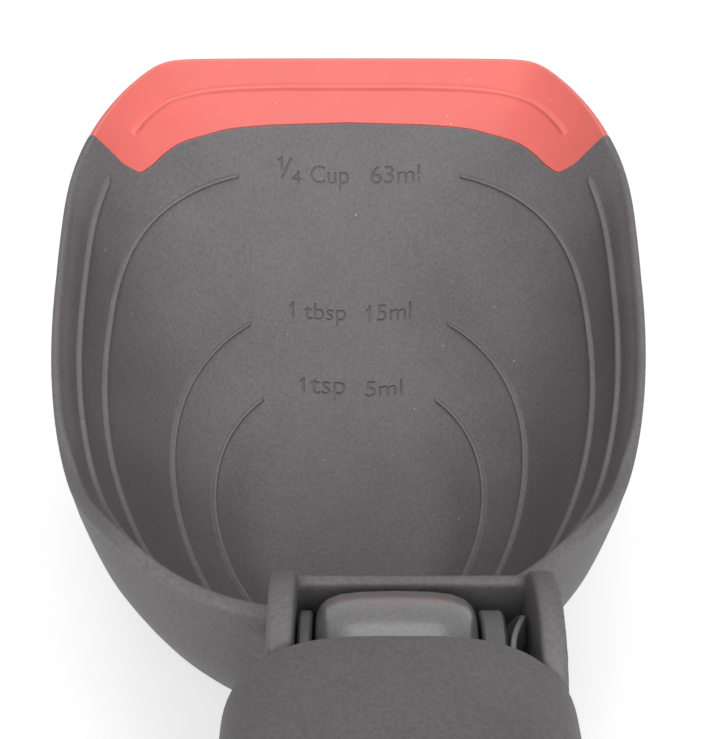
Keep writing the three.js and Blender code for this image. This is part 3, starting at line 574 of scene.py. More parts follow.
def turned(name, profile, middle, along, lay, material, hollow=False, sides=96):
    """A lathe-turned piece: pairs of place and radius spun about X or Z (0 or 2) through a middle."""
    turn = np.linspace(0, 2 * math.pi, sides, endpoint=False)
    rings = []
    for place, radius in profile:
        ring = [radius * np.cos(turn), radius * np.sin(turn)]
        ring.insert(along, np.full(sides, place))
        rings.append(np.stack(ring, axis=-1) + np.array(middle))
    if not hollow:
        return loft(name, rings, lay, material)
    faces = ring_faces(len(profile), sides, closed_rows=True)
    return make_piece(name, lay(np.concatenate(rings)), faces, material)


def shape_with(piece, kind, **settings):
    """Puts one modifier through a piece's mesh for good."""
    step = piece.modifiers.new(kind.lower(), kind)
    for name, value in settings.items():
        setattr(step, name, value)
    graph = bpy.context.evaluated_depsgraph_get()
    shaped = bpy.data.meshes.new_from_object(piece.evaluated_get(graph))
    piece.modifiers.clear()
    old = piece.data
    piece.data = shaped
    bpy.data.meshes.remove(old)


def join(piece, tool, operation="UNION"):
    """Joins a tool body to a piece, or cuts the piece with it, and takes the tool away."""
    shape_with(piece, "BOOLEAN", object=tool, operation=operation, solver="EXACT")
    bpy.data.objects.remove(tool)


def carve(piece, tool):
    """Cuts a tool body out of a piece."""
    join(piece, tool, "DIFFERENCE")


def soft_curve(start, pull, end, count):
    """Points of a curve from start to end that leans to the pull point, without the start."""
    t = np.linspace(0, 1, count)[1:, None]
    start, pull, end = np.array(start), np.array(pull), np.array(end)
    return (1 - t) ** 2 * start + 2 * t * (1 - t) * pull + t**2 * end


round_ear = np.linspace(math.acos((HEEL_FACE - PIN_Y) / EAR_RADIUS), math.radians(222), 48)
ear_arc = np.stack([PIN_Y + EAR_RADIUS * np.cos(round_ear), PIN_Z + EAR_RADIUS * np.sin(round_ear)], axis=-1)
under_neck = soft_curve(ear_arc[-1], (HEEL - 4, -0.17 * BOWL_DEPTH), (HEEL + 6, -0.72 * BOWL_DEPTH), 16)
neck_side = [*ear_arc, *under_neck, (HEEL + 6.4, -0.7 * BOWL_DEPTH), (HEEL_FACE, -1)]
neck = bar("neck", neck_side, EAR_LEFT, EAR_RIGHT, 0, on_table, bowl_nylon_with_painted_light)

# The ears' back corners are round in plan, and the neck narrows as it runs down the heel.
ear_back = PIN_Y - EAR_RADIUS
ear_round = 0.8 * EAR_WALL
left_corner = soft_curve(
    (EAR_LEFT, ear_back + ear_round), (EAR_LEFT, ear_back), (EAR_LEFT + ear_round, ear_back), 8
)
right_corner = soft_curve(
    (EAR_RIGHT - ear_round, ear_back), (EAR_RIGHT, ear_back), (EAR_RIGHT, ear_back + ear_round), 8
)
neck_plan = [(EAR_LEFT, HEEL + 14), (EAR_LEFT, ear_back + ear_round), *left_corner]
neck_plan += [(EAR_RIGHT - ear_round, ear_back), *right_corner, (EAR_RIGHT, HEEL + 14)]
join(neck, bar("plan", neck_plan, -BOWL_DEPTH - 5, PIN_Z + 40, 2, on_table, bowl_nylon_with_painted_light), "INTERSECT")
neck_foot = 0.27 * (EAR_RIGHT - EAR_LEFT)
foot_middle = 0.6 * HINGE_X
neck_front = [
    (EAR_LEFT - 1, PIN_Z + 40),
    (EAR_LEFT - 1, 0),
    (foot_middle - neck_foot, -0.8 * BOWL_DEPTH),
    (foot_middle + neck_foot, -0.8 * BOWL_DEPTH),
    (EAR_RIGHT + 1, 0),
    (EAR_RIGHT + 1, PIN_Z + 40),
]
join(neck, bar("front", neck_front, PIN_Y - 40, HEEL + 25, 1, on_table, bowl_nylon_with_painted_light), "INTERSECT")

deck_top = 0.8 * HEEL_RISE
deck_low = -0.55 * BOWL_DEPTH
deck_side = [
    (HEEL + 14, deck_low),
    (HEEL + 14, deck_top),
    (HEEL_FACE - 2.5, deck_top),
    (HEEL - 1.4, deck_top - 4),
    (HEEL - 0.4, -1),
    (HEEL + 2, 0.6 * deck_low),
    (HEEL + 6, deck_low),
]
deck_loops = []
for x, inward, tuck in [(EAR_LEFT - 6, 3.2, 0), (EAR_LEFT - 0.5, 0, 0), (EAR_RIGHT - 0.5, 0, 7)]:
    deck_loops.append([(x, y + inward + tuck * max(z / deck_low, 0), z) for y, z in deck_side])
join(neck, loft("deck", deck_loops, on_table, bowl_nylon_with_painted_light))
slot_left = EARS_MIDDLE - EARS_APART / 2
slot_right = EARS_MIDDLE + EARS_APART / 2
for floor, back, front in [(SLOT_FLOOR, PIN_Y - 60, SLOT_FACE), (FRONT_TOP, SLOT_FACE - 1, HEEL_FACE + 1)]:
    slot = [(slot_left, floor), (slot_right, floor), (slot_right, PIN_Z + 60), (slot_left, PIN_Z + 60)]
    carve(neck, bar("slot", slot, back, front, 1, on_table, bowl_nylon_with_painted_light))

# A patch of the heel's own wall, just under its skin, lets the fillets run out on the bowl.
UNDER_SKIN = 0.12
IN_WALL = 0.9
OFF_TABLE = 0.00015
heel_angles = np.radians(np.linspace(222, 318, 97))
heel_up = np.tile(np.linspace(0.24, 0.985, 84), (len(heel_angles), 1))
heel_wall = wall_points(heel_angles, heel_up)
heel_normal = wall_normal(heel_angles, heel_up)
under_skin = heel_wall - heel_normal * (wall_thickness(heel_angles, heel_up) - UNDER_SKIN)
in_wall = heel_wall - heel_normal * IN_WALL
patch_loops = np.concatenate([under_skin, in_wall[:, ::-1]], axis=1)


def off_table(points):
    """Points as the head lies on the table, held a hair above it."""
    laid = on_table(points)
    laid[:, 2] = np.maximum(laid[:, 2], OFF_TABLE)
    return laid


join(neck, loft("heel_patch", patch_loops, off_table, bowl_nylon_with_painted_light))

# What would stand inside the bowl is cut back into the middle of its wall.
CUT_BACK = 0.7
plug_angles = np.radians(np.arange(0, 360, 3.0))
plug_up = np.tile(np.linspace(0.06, 1, 30), (len(plug_angles), 1))
plug = wall_points(plug_angles, plug_up) - wall_normal(plug_angles, plug_up) * CUT_BACK
plug_rows = list(np.swapaxes(plug, 0, 1))
plug_rows.append(plug_rows[-1] + [0, 0, 1.2])
plug_points, plug_faces = closed_rings(
    plug_rows, FLOOR_MIDDLE - [0, 0, CUT_BACK], [0, 0.1 * HEAD_LENGTH, 45]
)
carve(neck, make_piece("inside", on_table(plug_points), plug_faces, bowl_nylon_with_painted_light))

shape_with(neck, "REMESH", mode="VOXEL", voxel_size=0.0004)
shape_with(neck, "SMOOTH", factor=0.5, iterations=10)

hinge_middle = (0, PIN_Y, PIN_Z)
bore = [(EAR_LEFT - 2, PIN_RADIUS + CLEARANCE), (EAR_RIGHT + 2, PIN_RADIUS + CLEARANCE)]
carve(neck, turned("bore", bore, hinge_middle, 0, on_table, bowl_nylon_with_painted_light))
for inside, outside in [
    (EAR_LEFT + CAP_THICK + CLEARANCE, EAR_LEFT - 2),
    (EAR_RIGHT - CAP_THICK - CLEARANCE, EAR_RIGHT + 2),
]:
    recess = [(inside, CAP_RADIUS + CLEARANCE), (outside, CAP_RADIUS + CLEARANCE)]
    carve(neck, turned("recess", recess, hinge_middle, 0, on_table, bowl_nylon_with_painted_light))
finish_edges(neck, 50)
fit(neck, "head", "bowl")

# Capacity marks. Plain lettering sunk into the front slope, moulded with the bowl. Each mark names
# what the bowl holds up to the lines beside it. A word is placed by its ends, its foot and its height.
MARK_SINK = 0.5
MARK_STAND = 0.4
WORDS = [
    ("1", -10.8, -10.4, 41.9, 2.05),
    ("/", -10.75, -8.9, 40.9, 3.1),
    ("4", -9.1, -7.6, 40.2, 2.1),
    ("Cup", -6.1, -0.05, 40.4, 2.8),
    ("63ml", 3.4, 11.15, 40.35, 2.8),
    ("1", -9.05, -8.65, 23.05, 2.45),
    ("tbsp", -7.1, -0.45, 23.0, 2.6),
    ("15ml", 3.05, 9.75, 22.8, 2.6),
    ("1", -7.3, -6.9, 11.95, 2.4),
    ("tsp", -6.0, -0.55, 11.85, 2.45),
    ("5ml", 2.55, 8.25, 11.5, 2.45),
]
# Place of the slanting flag at the top of each figure one.
FLAGS = [(-10.6, 43.5), (-8.85, 25.05), (3.25, 24.85), (-7.1, 14.0)]
SLOPE_LINES = 160
slope_angles = np.radians(np.linspace(40, 140, SLOPE_LINES))
slope_up = np.tile(np.linspace(0.02, 0.98, SLOPE_LINES), (SLOPE_LINES, 1))
slope = wall_points(slope_angles, slope_up)
slope_faces = []
for i in range(SLOPE_LINES - 1):
    for j in range(SLOPE_LINES - 1):
        at = i * SLOPE_LINES + j
        slope_faces.append((at, at + 1, at + SLOPE_LINES + 1, at + SLOPE_LINES))
front_slope = BVHTree.FromPolygons([Vector(p) for p in slope.reshape(-1, 3)], slope_faces)


def slope_under(x, y):
    """Point of the bowl's inside under a place in plan, and the direction out of it."""
    point, normal, _, _ = front_slope.ray_cast(Vector((x, y, 20)), Vector((0, 0, -1)))
    return point, normal if normal.z > 0 else -normal


def stamp(points, faces):
    """Sinks a closed shape into the bowl."""
    cutter = make_piece("stamp", on_table(np.array(points)), faces, bowl_nylon_with_painted_light)
    welded = bmesh.new()
    welded.from_mesh(cutter.data)
    bmesh.ops.remove_doubles(welded, verts=welded.verts, dist=0.000001)
    bmesh.ops.recalc_face_normals(welded, faces=welded.faces)
    welded.to_mesh(cutter.data)
    welded.free()
    carve(bowl, cutter)


letter_points = []
letter_faces = []
for word, left, right, foot, tall in WORDS:
    letters = bpy.data.curves.new("letters", "FONT")
    letters.body = word
    letters.extrude = 0.5
    letters.resolution_u = 4
    drawn = in_scene("letters", letters)
    bpy.context.view_layer.update()
    flat = bpy.data.meshes.new_from_object(drawn.evaluated_get(bpy.context.evaluated_depsgraph_get()))
    bpy.data.objects.remove(drawn)
    spots = np.array([v.co for v in flat.vertices])
    start = spots[:, 0].min()
    wide_scale = (right - left) / (spots[:, 0].max() - start)
    tall_scale = tall / spots[:, 1].max()
    _, facing = slope_under(left, foot)
    first = len(letter_points)
    for x, y, z in spots:
        point, normal = slope_under(left + (x - start) * wide_scale, foot + y * tall_scale * facing.z)
        letter_points.append(point + normal * (MARK_STAND if z > 0 else -MARK_SINK))
    letter_faces += [tuple(first + k for k in face.vertices) for face in flat.polygons]
stamp(letter_points, letter_faces)
flag_points = []
flag_faces = []
for x, y in FLAGS:
    first = len(flag_points)
    for depth in (MARK_STAND, -MARK_SINK):
        for dx, dy in [(0.1, 0), (0.1, -0.3), (-0.6, -0.62), (-0.6, -0.32)]:
            point, normal = slope_under(x + dx, y + dy)
            flag_points.append(point + normal * depth)
    sides = [(k, (k + 1) % 4, (k + 1) % 4 + 4, k + 4) for k in range(4)]
    for face in sides + [(0, 1, 2, 3), (4, 5, 6, 7)]:
        flag_faces.append(tuple(first + k for k in face))
stamp(flag_points, flag_faces)
finish_edges(bowl)
fit(bowl, "head", "bowl")

# Scraping lip. Red silicone moulded round the front edge of the bowl, flush with it inside and
# out, with a slim bead along it that stiffens the edge.
BEAD_RISE = 0.34
BEAD_HALF = 0.6
TIP_TRIM = 0.06
EDGE_LEAN = 0.6
EDGE_LIFT = 0.6
FOOT_REACH = 0.25
BEAD_LINE = [
    (0, 0.493),
    (0.191, 0.493),
    (0.374, 0.4912),
    (0.55, 0.4852),
    (0.665, 0.4701),
    (0.732, 0.4457),
    (0.777, 0.42),
    (0.808, 0.3971),
]


def silicone(name, colour):
    """Satin silicone: faint cloudy colour, paler edges and a soft sheen."""
    material, shader, place = plain_material(name)
    cloud = node(material, "TexNoise", Scale=110.0, Detail=3.0)
    grain = node(material, "TexNoise", Scale=3200.0, Detail=1.0)
    specks = node(material, "TexVoronoi", Scale=260.0)
    for texture in (cloud, grain, specks):
        link(place, texture.inputs["Vector"])
    shade = two_tone(material, cloud.outputs["Fac"], colour, (0.95, 1.05), (0.3, 0.72))
    edged = worn_and_lit_edges(material, shade, 0.3, (0.93, 0.42, 0.38))
    spots = ranged(material, specks.outputs["Distance"], 0.6, 0.0, 0.02, 0.032)
    link(laid_over(material, spots, edged, (0.95, 0.8, 0.76)), shader.inputs["Base Color"])
    link(ranged(material, cloud.outputs["Fac"], 0.46, 0.6), shader.inputs["Roughness"])
    shader.inputs["Specular IOR Level"].default_value = 0.38
    shader.inputs["Sheen Weight"].default_value = 0.08
    raised(material, shader, grain.outputs["Fac"], 0.1, 0.00004)
    return material


red_silicone = silicone("red_silicone", (0.88, 0.178, 0.156))
lip_angles = np.radians(
    np.concatenate([np.arange(30, 66, 0.16), np.arange(66, 114, 0.4), np.arange(114, 150.1, 0.16)])
)
lip_seam = seam_height(lip_angles)
lip_angles = lip_angles[lip_seam < 1.5]
lip_seam = lip_seam[lip_seam < 1.5]
_, lip_scale = wall_upward(lip_angles, lip_seam[:, None])
lip_low = np.minimum(lip_seam + SEAM_GAP / 2 / lip_scale[:, 0, 0], 0.9995)[:, None]
lip_share = np.linspace(0, 1, 113)
lip_up = lip_low + (1 - lip_low) * lip_share
lip_inner = wall_points(lip_angles, lip_up)

bead_at = np.linspace(0, len(BEAD_LINE) - 1, 300)
bead_path = [smooth_through(bead_at, range(len(BEAD_LINE)), [p[k] for p in BEAD_LINE]) for k in (0, 1)]
bead_path = np.stack([bead_path[0] * HALF_WIDTH, bead_path[1] * HEAD_LENGTH], axis=-1)
plan = np.stack([np.abs(lip_inner[..., 0]), lip_inner[..., 1]], axis=-1)
away = np.linalg.norm(plan[..., None, :] - bead_path, axis=-1)
nearest = bead_at[away.argmin(axis=-1)]
away = np.clip(away.min(axis=-1) / BEAD_HALF, 0, 1)
bead = (0.5 + 0.5 * np.cos(math.pi * away)) * np.clip((len(BEAD_LINE) - 1 - nearest) / 0.5, 0, 1) ** 0.5
lip_inner = lip_inner + wall_normal(lip_angles, lip_up) * (bead * BEAD_RISE)[..., None]

lip_outer_up = lip_up[:, ::8]
lip_outer = wall_points(lip_angles, lip_outer_up)
lip_thick = wall_thickness(lip_angles, lip_outer_up) - TIP_TRIM * np.sin(lip_angles)[:, None, None] ** 4
lip_outer = lip_outer - wall_normal(lip_angles, lip_outer_up) * lip_thick
lip_outer = lip_outer[:, ::-1]
lip_upward, _ = wall_upward(lip_angles, np.ones((len(lip_angles), 1)))
seam_upward, _ = wall_upward(lip_angles, lip_low)
edge_way = EDGE_LEAN * lip_upward[:, 0] + [0, 0, EDGE_LIFT]
lip_top = []
lip_foot = []
for k in range(len(top_turn)):
    middle = (lip_inner[:, -1] + lip_outer[:, 0]) / 2
    half = (lip_inner[:, -1] - lip_outer[:, 0]) / 2
    lip_top.append(middle + half * roll_across[k] + edge_way * roll_rise[k])
    middle = (lip_inner[:, 0] + lip_outer[:, -1]) / 2
    half = (lip_inner[:, 0] - lip_outer[:, -1]) / 2
    reach = FOOT_REACH if abs(seam_across[k]) < 0.7 else seam_rise[k]
    lip_foot.append(middle - half * seam_across[k] - seam_upward[:, 0] * reach)
lip_rows = list(np.swapaxes(lip_inner, 0, 1)) + lip_top + list(np.swapaxes(lip_outer, 0, 1)) + lip_foot
scraper_lip = loft("scraper_lip", np.stack(lip_rows, axis=1), on_table, red_silicone)
fit(scraper_lip, "head", "scraper_lip")

# Handle core. A glass-filled nylon bar, moulded with a crowned round tongue that turns between the
# ears and a flat spine that stiffens the handle. The shells close over it.
HANDLE_ANGLE = math.radians(25)
HANDLE_LENGTH = 196.0
ARCH = 7.0
TONGUE_WIDE = 16.4
BUSH_WALL = 1.2
BUSH_RADIUS = PIN_RADIUS + CLEARANCE + BUSH_WALL
SHOULDER_RADIUS = EAR_RADIUS + 1.4
ROOT_LENGTH = SHOULDER_RADIUS + 7.6
ROOT_LOW = -6.0
ROOT_HIGH = 6.5
SPINE_WIDE = 12.0
SPINE_HALF = 3.0
SCREW_PLACES = [0.2, 0.48, 0.76]
SCREW_RADIUS = 1.5


def in_handle(points):
    """Points drawn about the pin with the handle along -Y, as they lie in the photographed pose."""
    return on_table(turned_about_x(points, -HANDLE_ANGLE) + np.array([HINGE_X, PIN_Y, PIN_Z]))


def droop(y):
    """How far the handle's middle line bends down at a place along it."""
    return -ARCH * (y / HANDLE_LENGTH) ** 2


core_nylon = moulded_nylon("core_nylon", (0.15, 0.144, 0.148), 0.34, 0.3)
polish = core_nylon.node_tree.nodes["Principled BSDF"].inputs
polish["Coat Weight"].default_value = 1.0
polish["Coat Roughness"].default_value = 0.22
half_tongue = TONGUE_WIDE / 2
crown = [(0, 0), (0.45, 0.1), (0.7, 0.35), (0.85, 0.8), (0.94, 1.4), (0.985, 2.1), (1, 3.0)]
tongue_side = [(share * half_tongue, TONGUE_RADIUS - drop) for share, drop in crown]
tongue_profile = [(-place, radius) for place, radius in tongue_side[:0:-1]] + tongue_side
core = turned("handle_core", tongue_profile, (0, 0, 0), 0, in_handle, core_nylon)
root_front = [
    (-half_tongue, ROOT_LOW + 1),
    (-half_tongue + 1, ROOT_LOW),
    (half_tongue - 1, ROOT_LOW),
    (half_tongue, ROOT_LOW + 1),
    (half_tongue, ROOT_HIGH - 1),
    (half_tongue - 1, ROOT_HIGH),
    (-half_tongue + 1, ROOT_HIGH),
    (-half_tongue, ROOT_HIGH - 1),
]
join(core, bar("root", root_front, -ROOT_LENGTH, 0, 1, in_handle, core_nylon))
spine_y = -HANDLE_LENGTH * np.linspace(0.09, 0.8, 40)
spine_rows = []
for y in spine_y:
    section = []
    for x, z in [(1, -0.8), (1, 0.8), (0.93, 1), (-0.93, 1), (-1, 0.8), (-1, -0.8), (-0.93, -1), (0.93, -1)]:
        section.append((x * SPINE_WIDE / 2, y, droop(y) + z * SPINE_HALF))
    spine_rows.append(section)
join(core, loft("spine", spine_rows, in_handle, core_nylon))
bush_seat = [(-20, BUSH_RADIUS + CLEARANCE), (20, BUSH_RADIUS + CLEARANCE)]
carve(core, turned("bush_seat", bush_seat, (0, 0, 0), 0, in_handle, core_nylon))
for share in SCREW_PLACES:
    y = -share * HANDLE_LENGTH
    hole = [(droop(y) - 10, SCREW_RADIUS + CLEARANCE), (droop(y) + 10, SCREW_RADIUS + CLEARANCE)]
    carve(core, turned("screw_hole", hole, (0, y, 0), 2, in_handle, core_nylon, sides=48))
finish_edges(core, 34)
fit(core, "handle", "handle_core")

# Tongue bush. A black acetal sleeve, turned on a lathe and pressed into the tongue, so that the pin
# turns in plastic.


def turning_lines(material, place, fineness, detail):
    """The fine lines of a lathe, drawn out round the piece."""
    stretch = node(material, "Mapping", Scale=fineness)
    lines = node(material, "TexNoise", Scale=1.0, Detail=detail)
    link(place, stretch.inputs["Vector"])
    link(stretch.outputs["Vector"], lines.inputs["Vector"])
    return lines.outputs["Fac"]


def acetal(name, colour):
    """Black acetal off the lathe: waxy sheen and fine turning lines."""
    material, shader, place = plain_material(name)
    turning = turning_lines(material, place, (9000, 250, 250), 2.0)
    link(two_tone(material, turning, colour, (0.8, 1.3), (0, 1)), shader.inputs["Base Color"])
    link(ranged(material, turning, 0.36, 0.56), shader.inputs["Roughness"])
    raised(material, shader, turning, 0.15, 0.00003)
    return material


def ring_profile(low, high, inner, outer, edge):
    """Section of a flat ring with its four edges broken."""
    return [
        (low, inner + edge),
        (low, outer - edge),
        (low + edge, outer),
        (high - edge, outer),
        (high, outer - edge),
        (high, inner + edge),
        (high - edge, inner),
        (low + edge, inner),
    ]


black_acetal = acetal("black_acetal", (0.06, 0.06, 0.062))
bush_profile = ring_profile(-half_tongue, half_tongue, PIN_RADIUS + CLEARANCE, BUSH_RADIUS, 0.3)
bush = turned("tongue_bush", bush_profile, (0, 0, 0), 0, in_handle, black_acetal, hollow=True)
fit(bush, "handle", "tongue_bush")

# Handle shells. Two hollow nylon mouldings that meet on a parting line along the sides, with the
# edges eased there. They are screwed together from below over the core.
HANDLE_WIDE = 33.9
HANDLE_TOP = 10.2
HANDLE_LOW = 8.3
SHELL_WALL = 2.4
PARTING = 0.3
EDGE_EASE = 0.35
SQUARENESS = 3.4
SCREW_HEAD_RADIUS = 2.8
SCREW_HEAD_TALL = 1.8
SCREW_SINK = 0.5
EYE_PLACE = 0.895
EYE_RADIUS = 4.5
EYE_OUT = EYE_RADIUS + 1.0
FLANGE_RADIUS = EYE_OUT + 1.6
EYE_SINK = 0.7
BOSS_RADIUS = EYE_OUT + 2.6
UPPER_POST = 3.6
LOWER_POST = 4.4
# Place along the handle, and its width, top and underside there, as shares of the root's.
HANDLE_SHAPE = [
    (0.01, 1.0, 1.0, 1.0),
    (0.06, 1.0, 1.02, 1.01),
    (0.12, 0.985, 1.02, 1.0),
    (0.2, 0.935, 0.98, 0.95),
    (0.3, 0.86, 0.86, 0.87),
    (0.42, 0.8, 0.755, 0.82),
    (0.55, 0.79, 0.69, 0.8),
    (0.68, 0.83, 0.645, 0.77),
    (0.8, 0.88, 0.605, 0.73),
    (0.9, 0.89, 0.56, 0.69),
    (0.935, 0.84, 0.54, 0.66),
    (0.96, 0.73, 0.505, 0.62),
    (0.98, 0.565, 0.44, 0.54),
    (0.992, 0.39, 0.335, 0.4),
    (1.0, 0.12, 0.13, 0.14),
]
# The handle's grey is set darker than the bowl's: painted shade for the dimmer light on the handle.
handle_nylon_painted_shade = moulded_nylon("handle_nylon_painted_shade", (0.126, 0.12, 0.122), 0.62, 0.5)


def handle_size(share):
    """Half width, top and underside of the handle at a place along it."""
    places = [row[0] for row in HANDLE_SHAPE]
    wide, top, low = [
        smooth_through(np.array([share]), places, [row[k] for row in HANDLE_SHAPE])[0] for k in (1, 2, 3)
    ]
    return wide * HANDLE_WIDE / 2, top * HANDLE_TOP, low * HANDLE_LOW


def shell_body(name, side, shares, wall):
    """Upper (1) or lower (-1) half of the handle as a solid, or its hollow where a wall is given."""
    turn = np.linspace(0, math.pi, 41)
    across = np.sign(np.cos(turn)) * np.abs(np.cos(turn)) ** (2 / SQUARENESS)
    rise = np.abs(np.sin(turn)) ** (2 / SQUARENESS)
    loops = []
    for share in shares:
        wide, top, low = handle_size(share)
        y = -share * HANDLE_LENGTH
        tall = (top if side > 0 else low) - wall
        wide = wide - wall
        ease = 0 if wall else min(EDGE_EASE, 0.3 * wide, 0.3 * tall)
        foot = PARTING / 2 - (2 * PARTING if wall else 0)
        x = np.concatenate([across * wide, [ease - wide, wide - ease]])
        z = np.concatenate([PARTING / 2 + ease + rise * (tall - ease), [foot, foot]])
        loops.append(np.stack([x, np.full_like(x, y), droop(y) + side * z], axis=-1))
    return loft(name, loops, in_handle, handle_nylon_painted_shade)


def rod(name, radius, low, high, y, sides=48):
    """A plain rod across the handle's thickness, for posts and bores."""
    return turned(name, [(low, radius), (high, radius)], (0, y, 0), 2, in_handle, handle_nylon_painted_shade, sides=sides)


def screw_levels(share):
    """A screw's place, the handle's middle, top and underside there, and the screw's two ends."""
    y = -share * HANDLE_LENGTH
    _, top, low = handle_size(share)
    head_low = droop(y) - low + SCREW_SINK
    screw_end = droop(y) + min(top - SHELL_WALL - 0.4, SPINE_HALF + 3.0)
    return y, droop(y), top, low, head_low, screw_end


outer_shares = np.concatenate(
    [np.linspace(0.01, 0.9, 90), np.linspace(0.906, 0.978, 22), np.linspace(0.98, 1, 16)]
)
hollow_shares = np.linspace((SHOULDER_RADIUS + 5) / HANDLE_LENGTH, 0.945, 60)
eye_y = -EYE_PLACE * HANDLE_LENGTH
_, eye_top, eye_low = handle_size(EYE_PLACE)
eye_top = droop(eye_y) + eye_top - EYE_SINK
eye_low = droop(eye_y) - eye_low + EYE_SINK
for side, name in [(1, "handle_upper_shell"), (-1, "handle_lower_shell")]:
    shell = shell_body(name, side, outer_shares, 0)
    carve(shell, shell_body("hollow", side, hollow_shares, SHELL_WALL))
    for share in SCREW_PLACES:
        y, middle, top, low, head_low, screw_end = screw_levels(share)
        if side > 0:
            post = (middle + SPINE_HALF + CLEARANCE, middle + top - SHELL_WALL / 2)
            join(shell, rod("post", UPPER_POST, *post, y))
            carve(shell, rod("pilot", SCREW_RADIUS + CLEARANCE, middle, screw_end + CLEARANCE, y))
        else:
            post = (middle - low + SHELL_WALL / 2, middle - SPINE_HALF - CLEARANCE)
            join(shell, rod("post", LOWER_POST, *post, y))
            seat_top = head_low + SCREW_HEAD_TALL + CLEARANCE
            carve(shell, rod("seat", SCREW_HEAD_RADIUS + CLEARANCE, head_low - 5, seat_top, y))
            carve(shell, rod("pilot", SCREW_RADIUS + CLEARANCE, head_low, middle, y))
    if side > 0:
        boss = (droop(eye_y) + PARTING / 2, eye_top - 0.3)
        seat = (eye_top - CLEARANCE, eye_top + 20)
    else:
        boss = (eye_low + 0.3, droop(eye_y) - PARTING / 2)
        seat = (eye_low - 20, eye_low + CLEARANCE)
    join(shell, rod("boss", BOSS_RADIUS, *boss, eye_y, 72))
    carve(shell, rod("flange_seat", FLANGE_RADIUS + CLEARANCE, *seat, eye_y, 72))
    carve(shell, rod("eye_bore", EYE_OUT + CLEARANCE, droop(eye_y) - 30, droop(eye_y) + 30, eye_y, 72))
    shoulder = [(-40, SHOULDER_RADIUS), (40, SHOULDER_RADIUS)]
    carve(shell, turned("shoulder", shoulder, (0, 0, 0), 0, in_handle, handle_nylon_painted_shade, sides=160))
    opening = [
        (-half_tongue - CLEARANCE, ROOT_LOW - CLEARANCE),
        (half_tongue + CLEARANCE, ROOT_LOW - CLEARANCE),
        (half_tongue + CLEARANCE, ROOT_HIGH + CLEARANCE),
        (-half_tongue - CLEARANCE, ROOT_HIGH + CLEARANCE),
    ]
    carve(shell, bar("opening", opening, -ROOT_LENGTH - CLEARANCE, 0, 1, in_handle, handle_nylon_painted_shade))
    finish_edges(shell, 30)
    fit(shell, "handle", name)

# Handle screws. Three stainless socket screws, sunk into the lower shell, that pull the shells
# together through the core.
DRIVE_RADIUS = 1.1
DRIVE_DEPTH = 0.9


def turned_steel(name, colour, roughness, lines_along, bare=1.0):
    """Turned or drawn steel: fine lines, changes of sheen, and a paler edge: wear and painted highlight."""
    material, shader, place = plain_material(name)
    turning = turning_lines(material, place, lines_along, 3.0)
    blotch = node(material, "TexNoise", Scale=420.0, Detail=3.0)
    link(place, blotch.inputs["Vector"])
    shade = two_tone(material, blotch.outputs["Fac"], colour, (0.86, 1.1), (0.3, 0.7))
    link(worn_and_lit_edges(material, shade, 0.4 * bare, (0.8, 0.8, 0.81)), shader.inputs["Base Color"])
    shader.inputs["Metallic"].default_value = bare
    link(ranged(material, turning, roughness - 0.1, roughness + 0.12), shader.inputs["Roughness"])
    raised(material, shader, turning, 0.2, 0.00002)
    return material


screw_steel = turned_steel("screw_steel", (0.62, 0.62, 0.63), 0.32, (400, 400, 8000))
for share, name in zip(SCREW_PLACES, ("front", "middle", "rear")):
    y, _, _, _, head_low, screw_end = screw_levels(share)
    head_high = head_low + SCREW_HEAD_TALL
    screw_profile = [
        (head_low, SCREW_HEAD_RADIUS - 0.45),
        (head_low + 0.12, SCREW_HEAD_RADIUS - 0.2),
        (head_low + 0.4, SCREW_HEAD_RADIUS),
        (head_high - 0.15, SCREW_HEAD_RADIUS),
        (head_high, SCREW_HEAD_RADIUS - 0.15),
        (head_high, SCREW_RADIUS + 0.2),
        (head_high + 0.2, SCREW_RADIUS),
        (screw_end - 0.5, SCREW_RADIUS),
        (screw_end, SCREW_RADIUS - 0.5),
    ]
    screw = turned("handle_screw_" + name, screw_profile, (0, y, 0), 2, in_handle, screw_steel, sides=64)
    drive = [(head_low - 1, DRIVE_RADIUS), (head_low + DRIVE_DEPTH, DRIVE_RADIUS)]
    carve(screw, turned("drive", drive, (0, y, 0), 2, in_handle, screw_steel, sides=6))
    finish_edges(screw, 34)
    fit(screw, "handle", "handle_screw_" + name)

# Hanging eye. A stainless eyelet through the end of the handle, with its two flanges rolled over
# into seats in the shells.
eye_steel = turned_steel("eye_steel", (0.62, 0.62, 0.63), 0.28, (500, 500, 6000))
FLANGE_TALL = 0.8
OUTER_ROLL = 0.65
THROAT_ROLL = 0.7
rolled = np.radians(np.linspace(0, 90, 9))
upper_roll = []
for a in rolled:
    place = eye_top + 0.15 + OUTER_ROLL * math.sin(a)
    upper_roll.append((place, FLANGE_RADIUS - OUTER_ROLL + OUTER_ROLL * math.cos(a)))
throat_roll = []
for a in rolled[::-1]:
    place = eye_top + FLANGE_TALL - THROAT_ROLL + THROAT_ROLL * math.sin(a)
    throat_roll.append((place, EYE_RADIUS + THROAT_ROLL - THROAT_ROLL * math.cos(a)))
upper_half = [(eye_top, EYE_OUT), (eye_top, FLANGE_RADIUS - 0.1), *upper_roll, *throat_roll]
lower_half = [(eye_top + eye_low - place, radius) for place, radius in upper_half[::-1]]
eyelet = turned("hang_eyelet", upper_half + lower_half, (0, eye_y, 0), 2, in_handle, eye_steel, hollow=True)
fit(eyelet, "handle", "hang_eyelet")

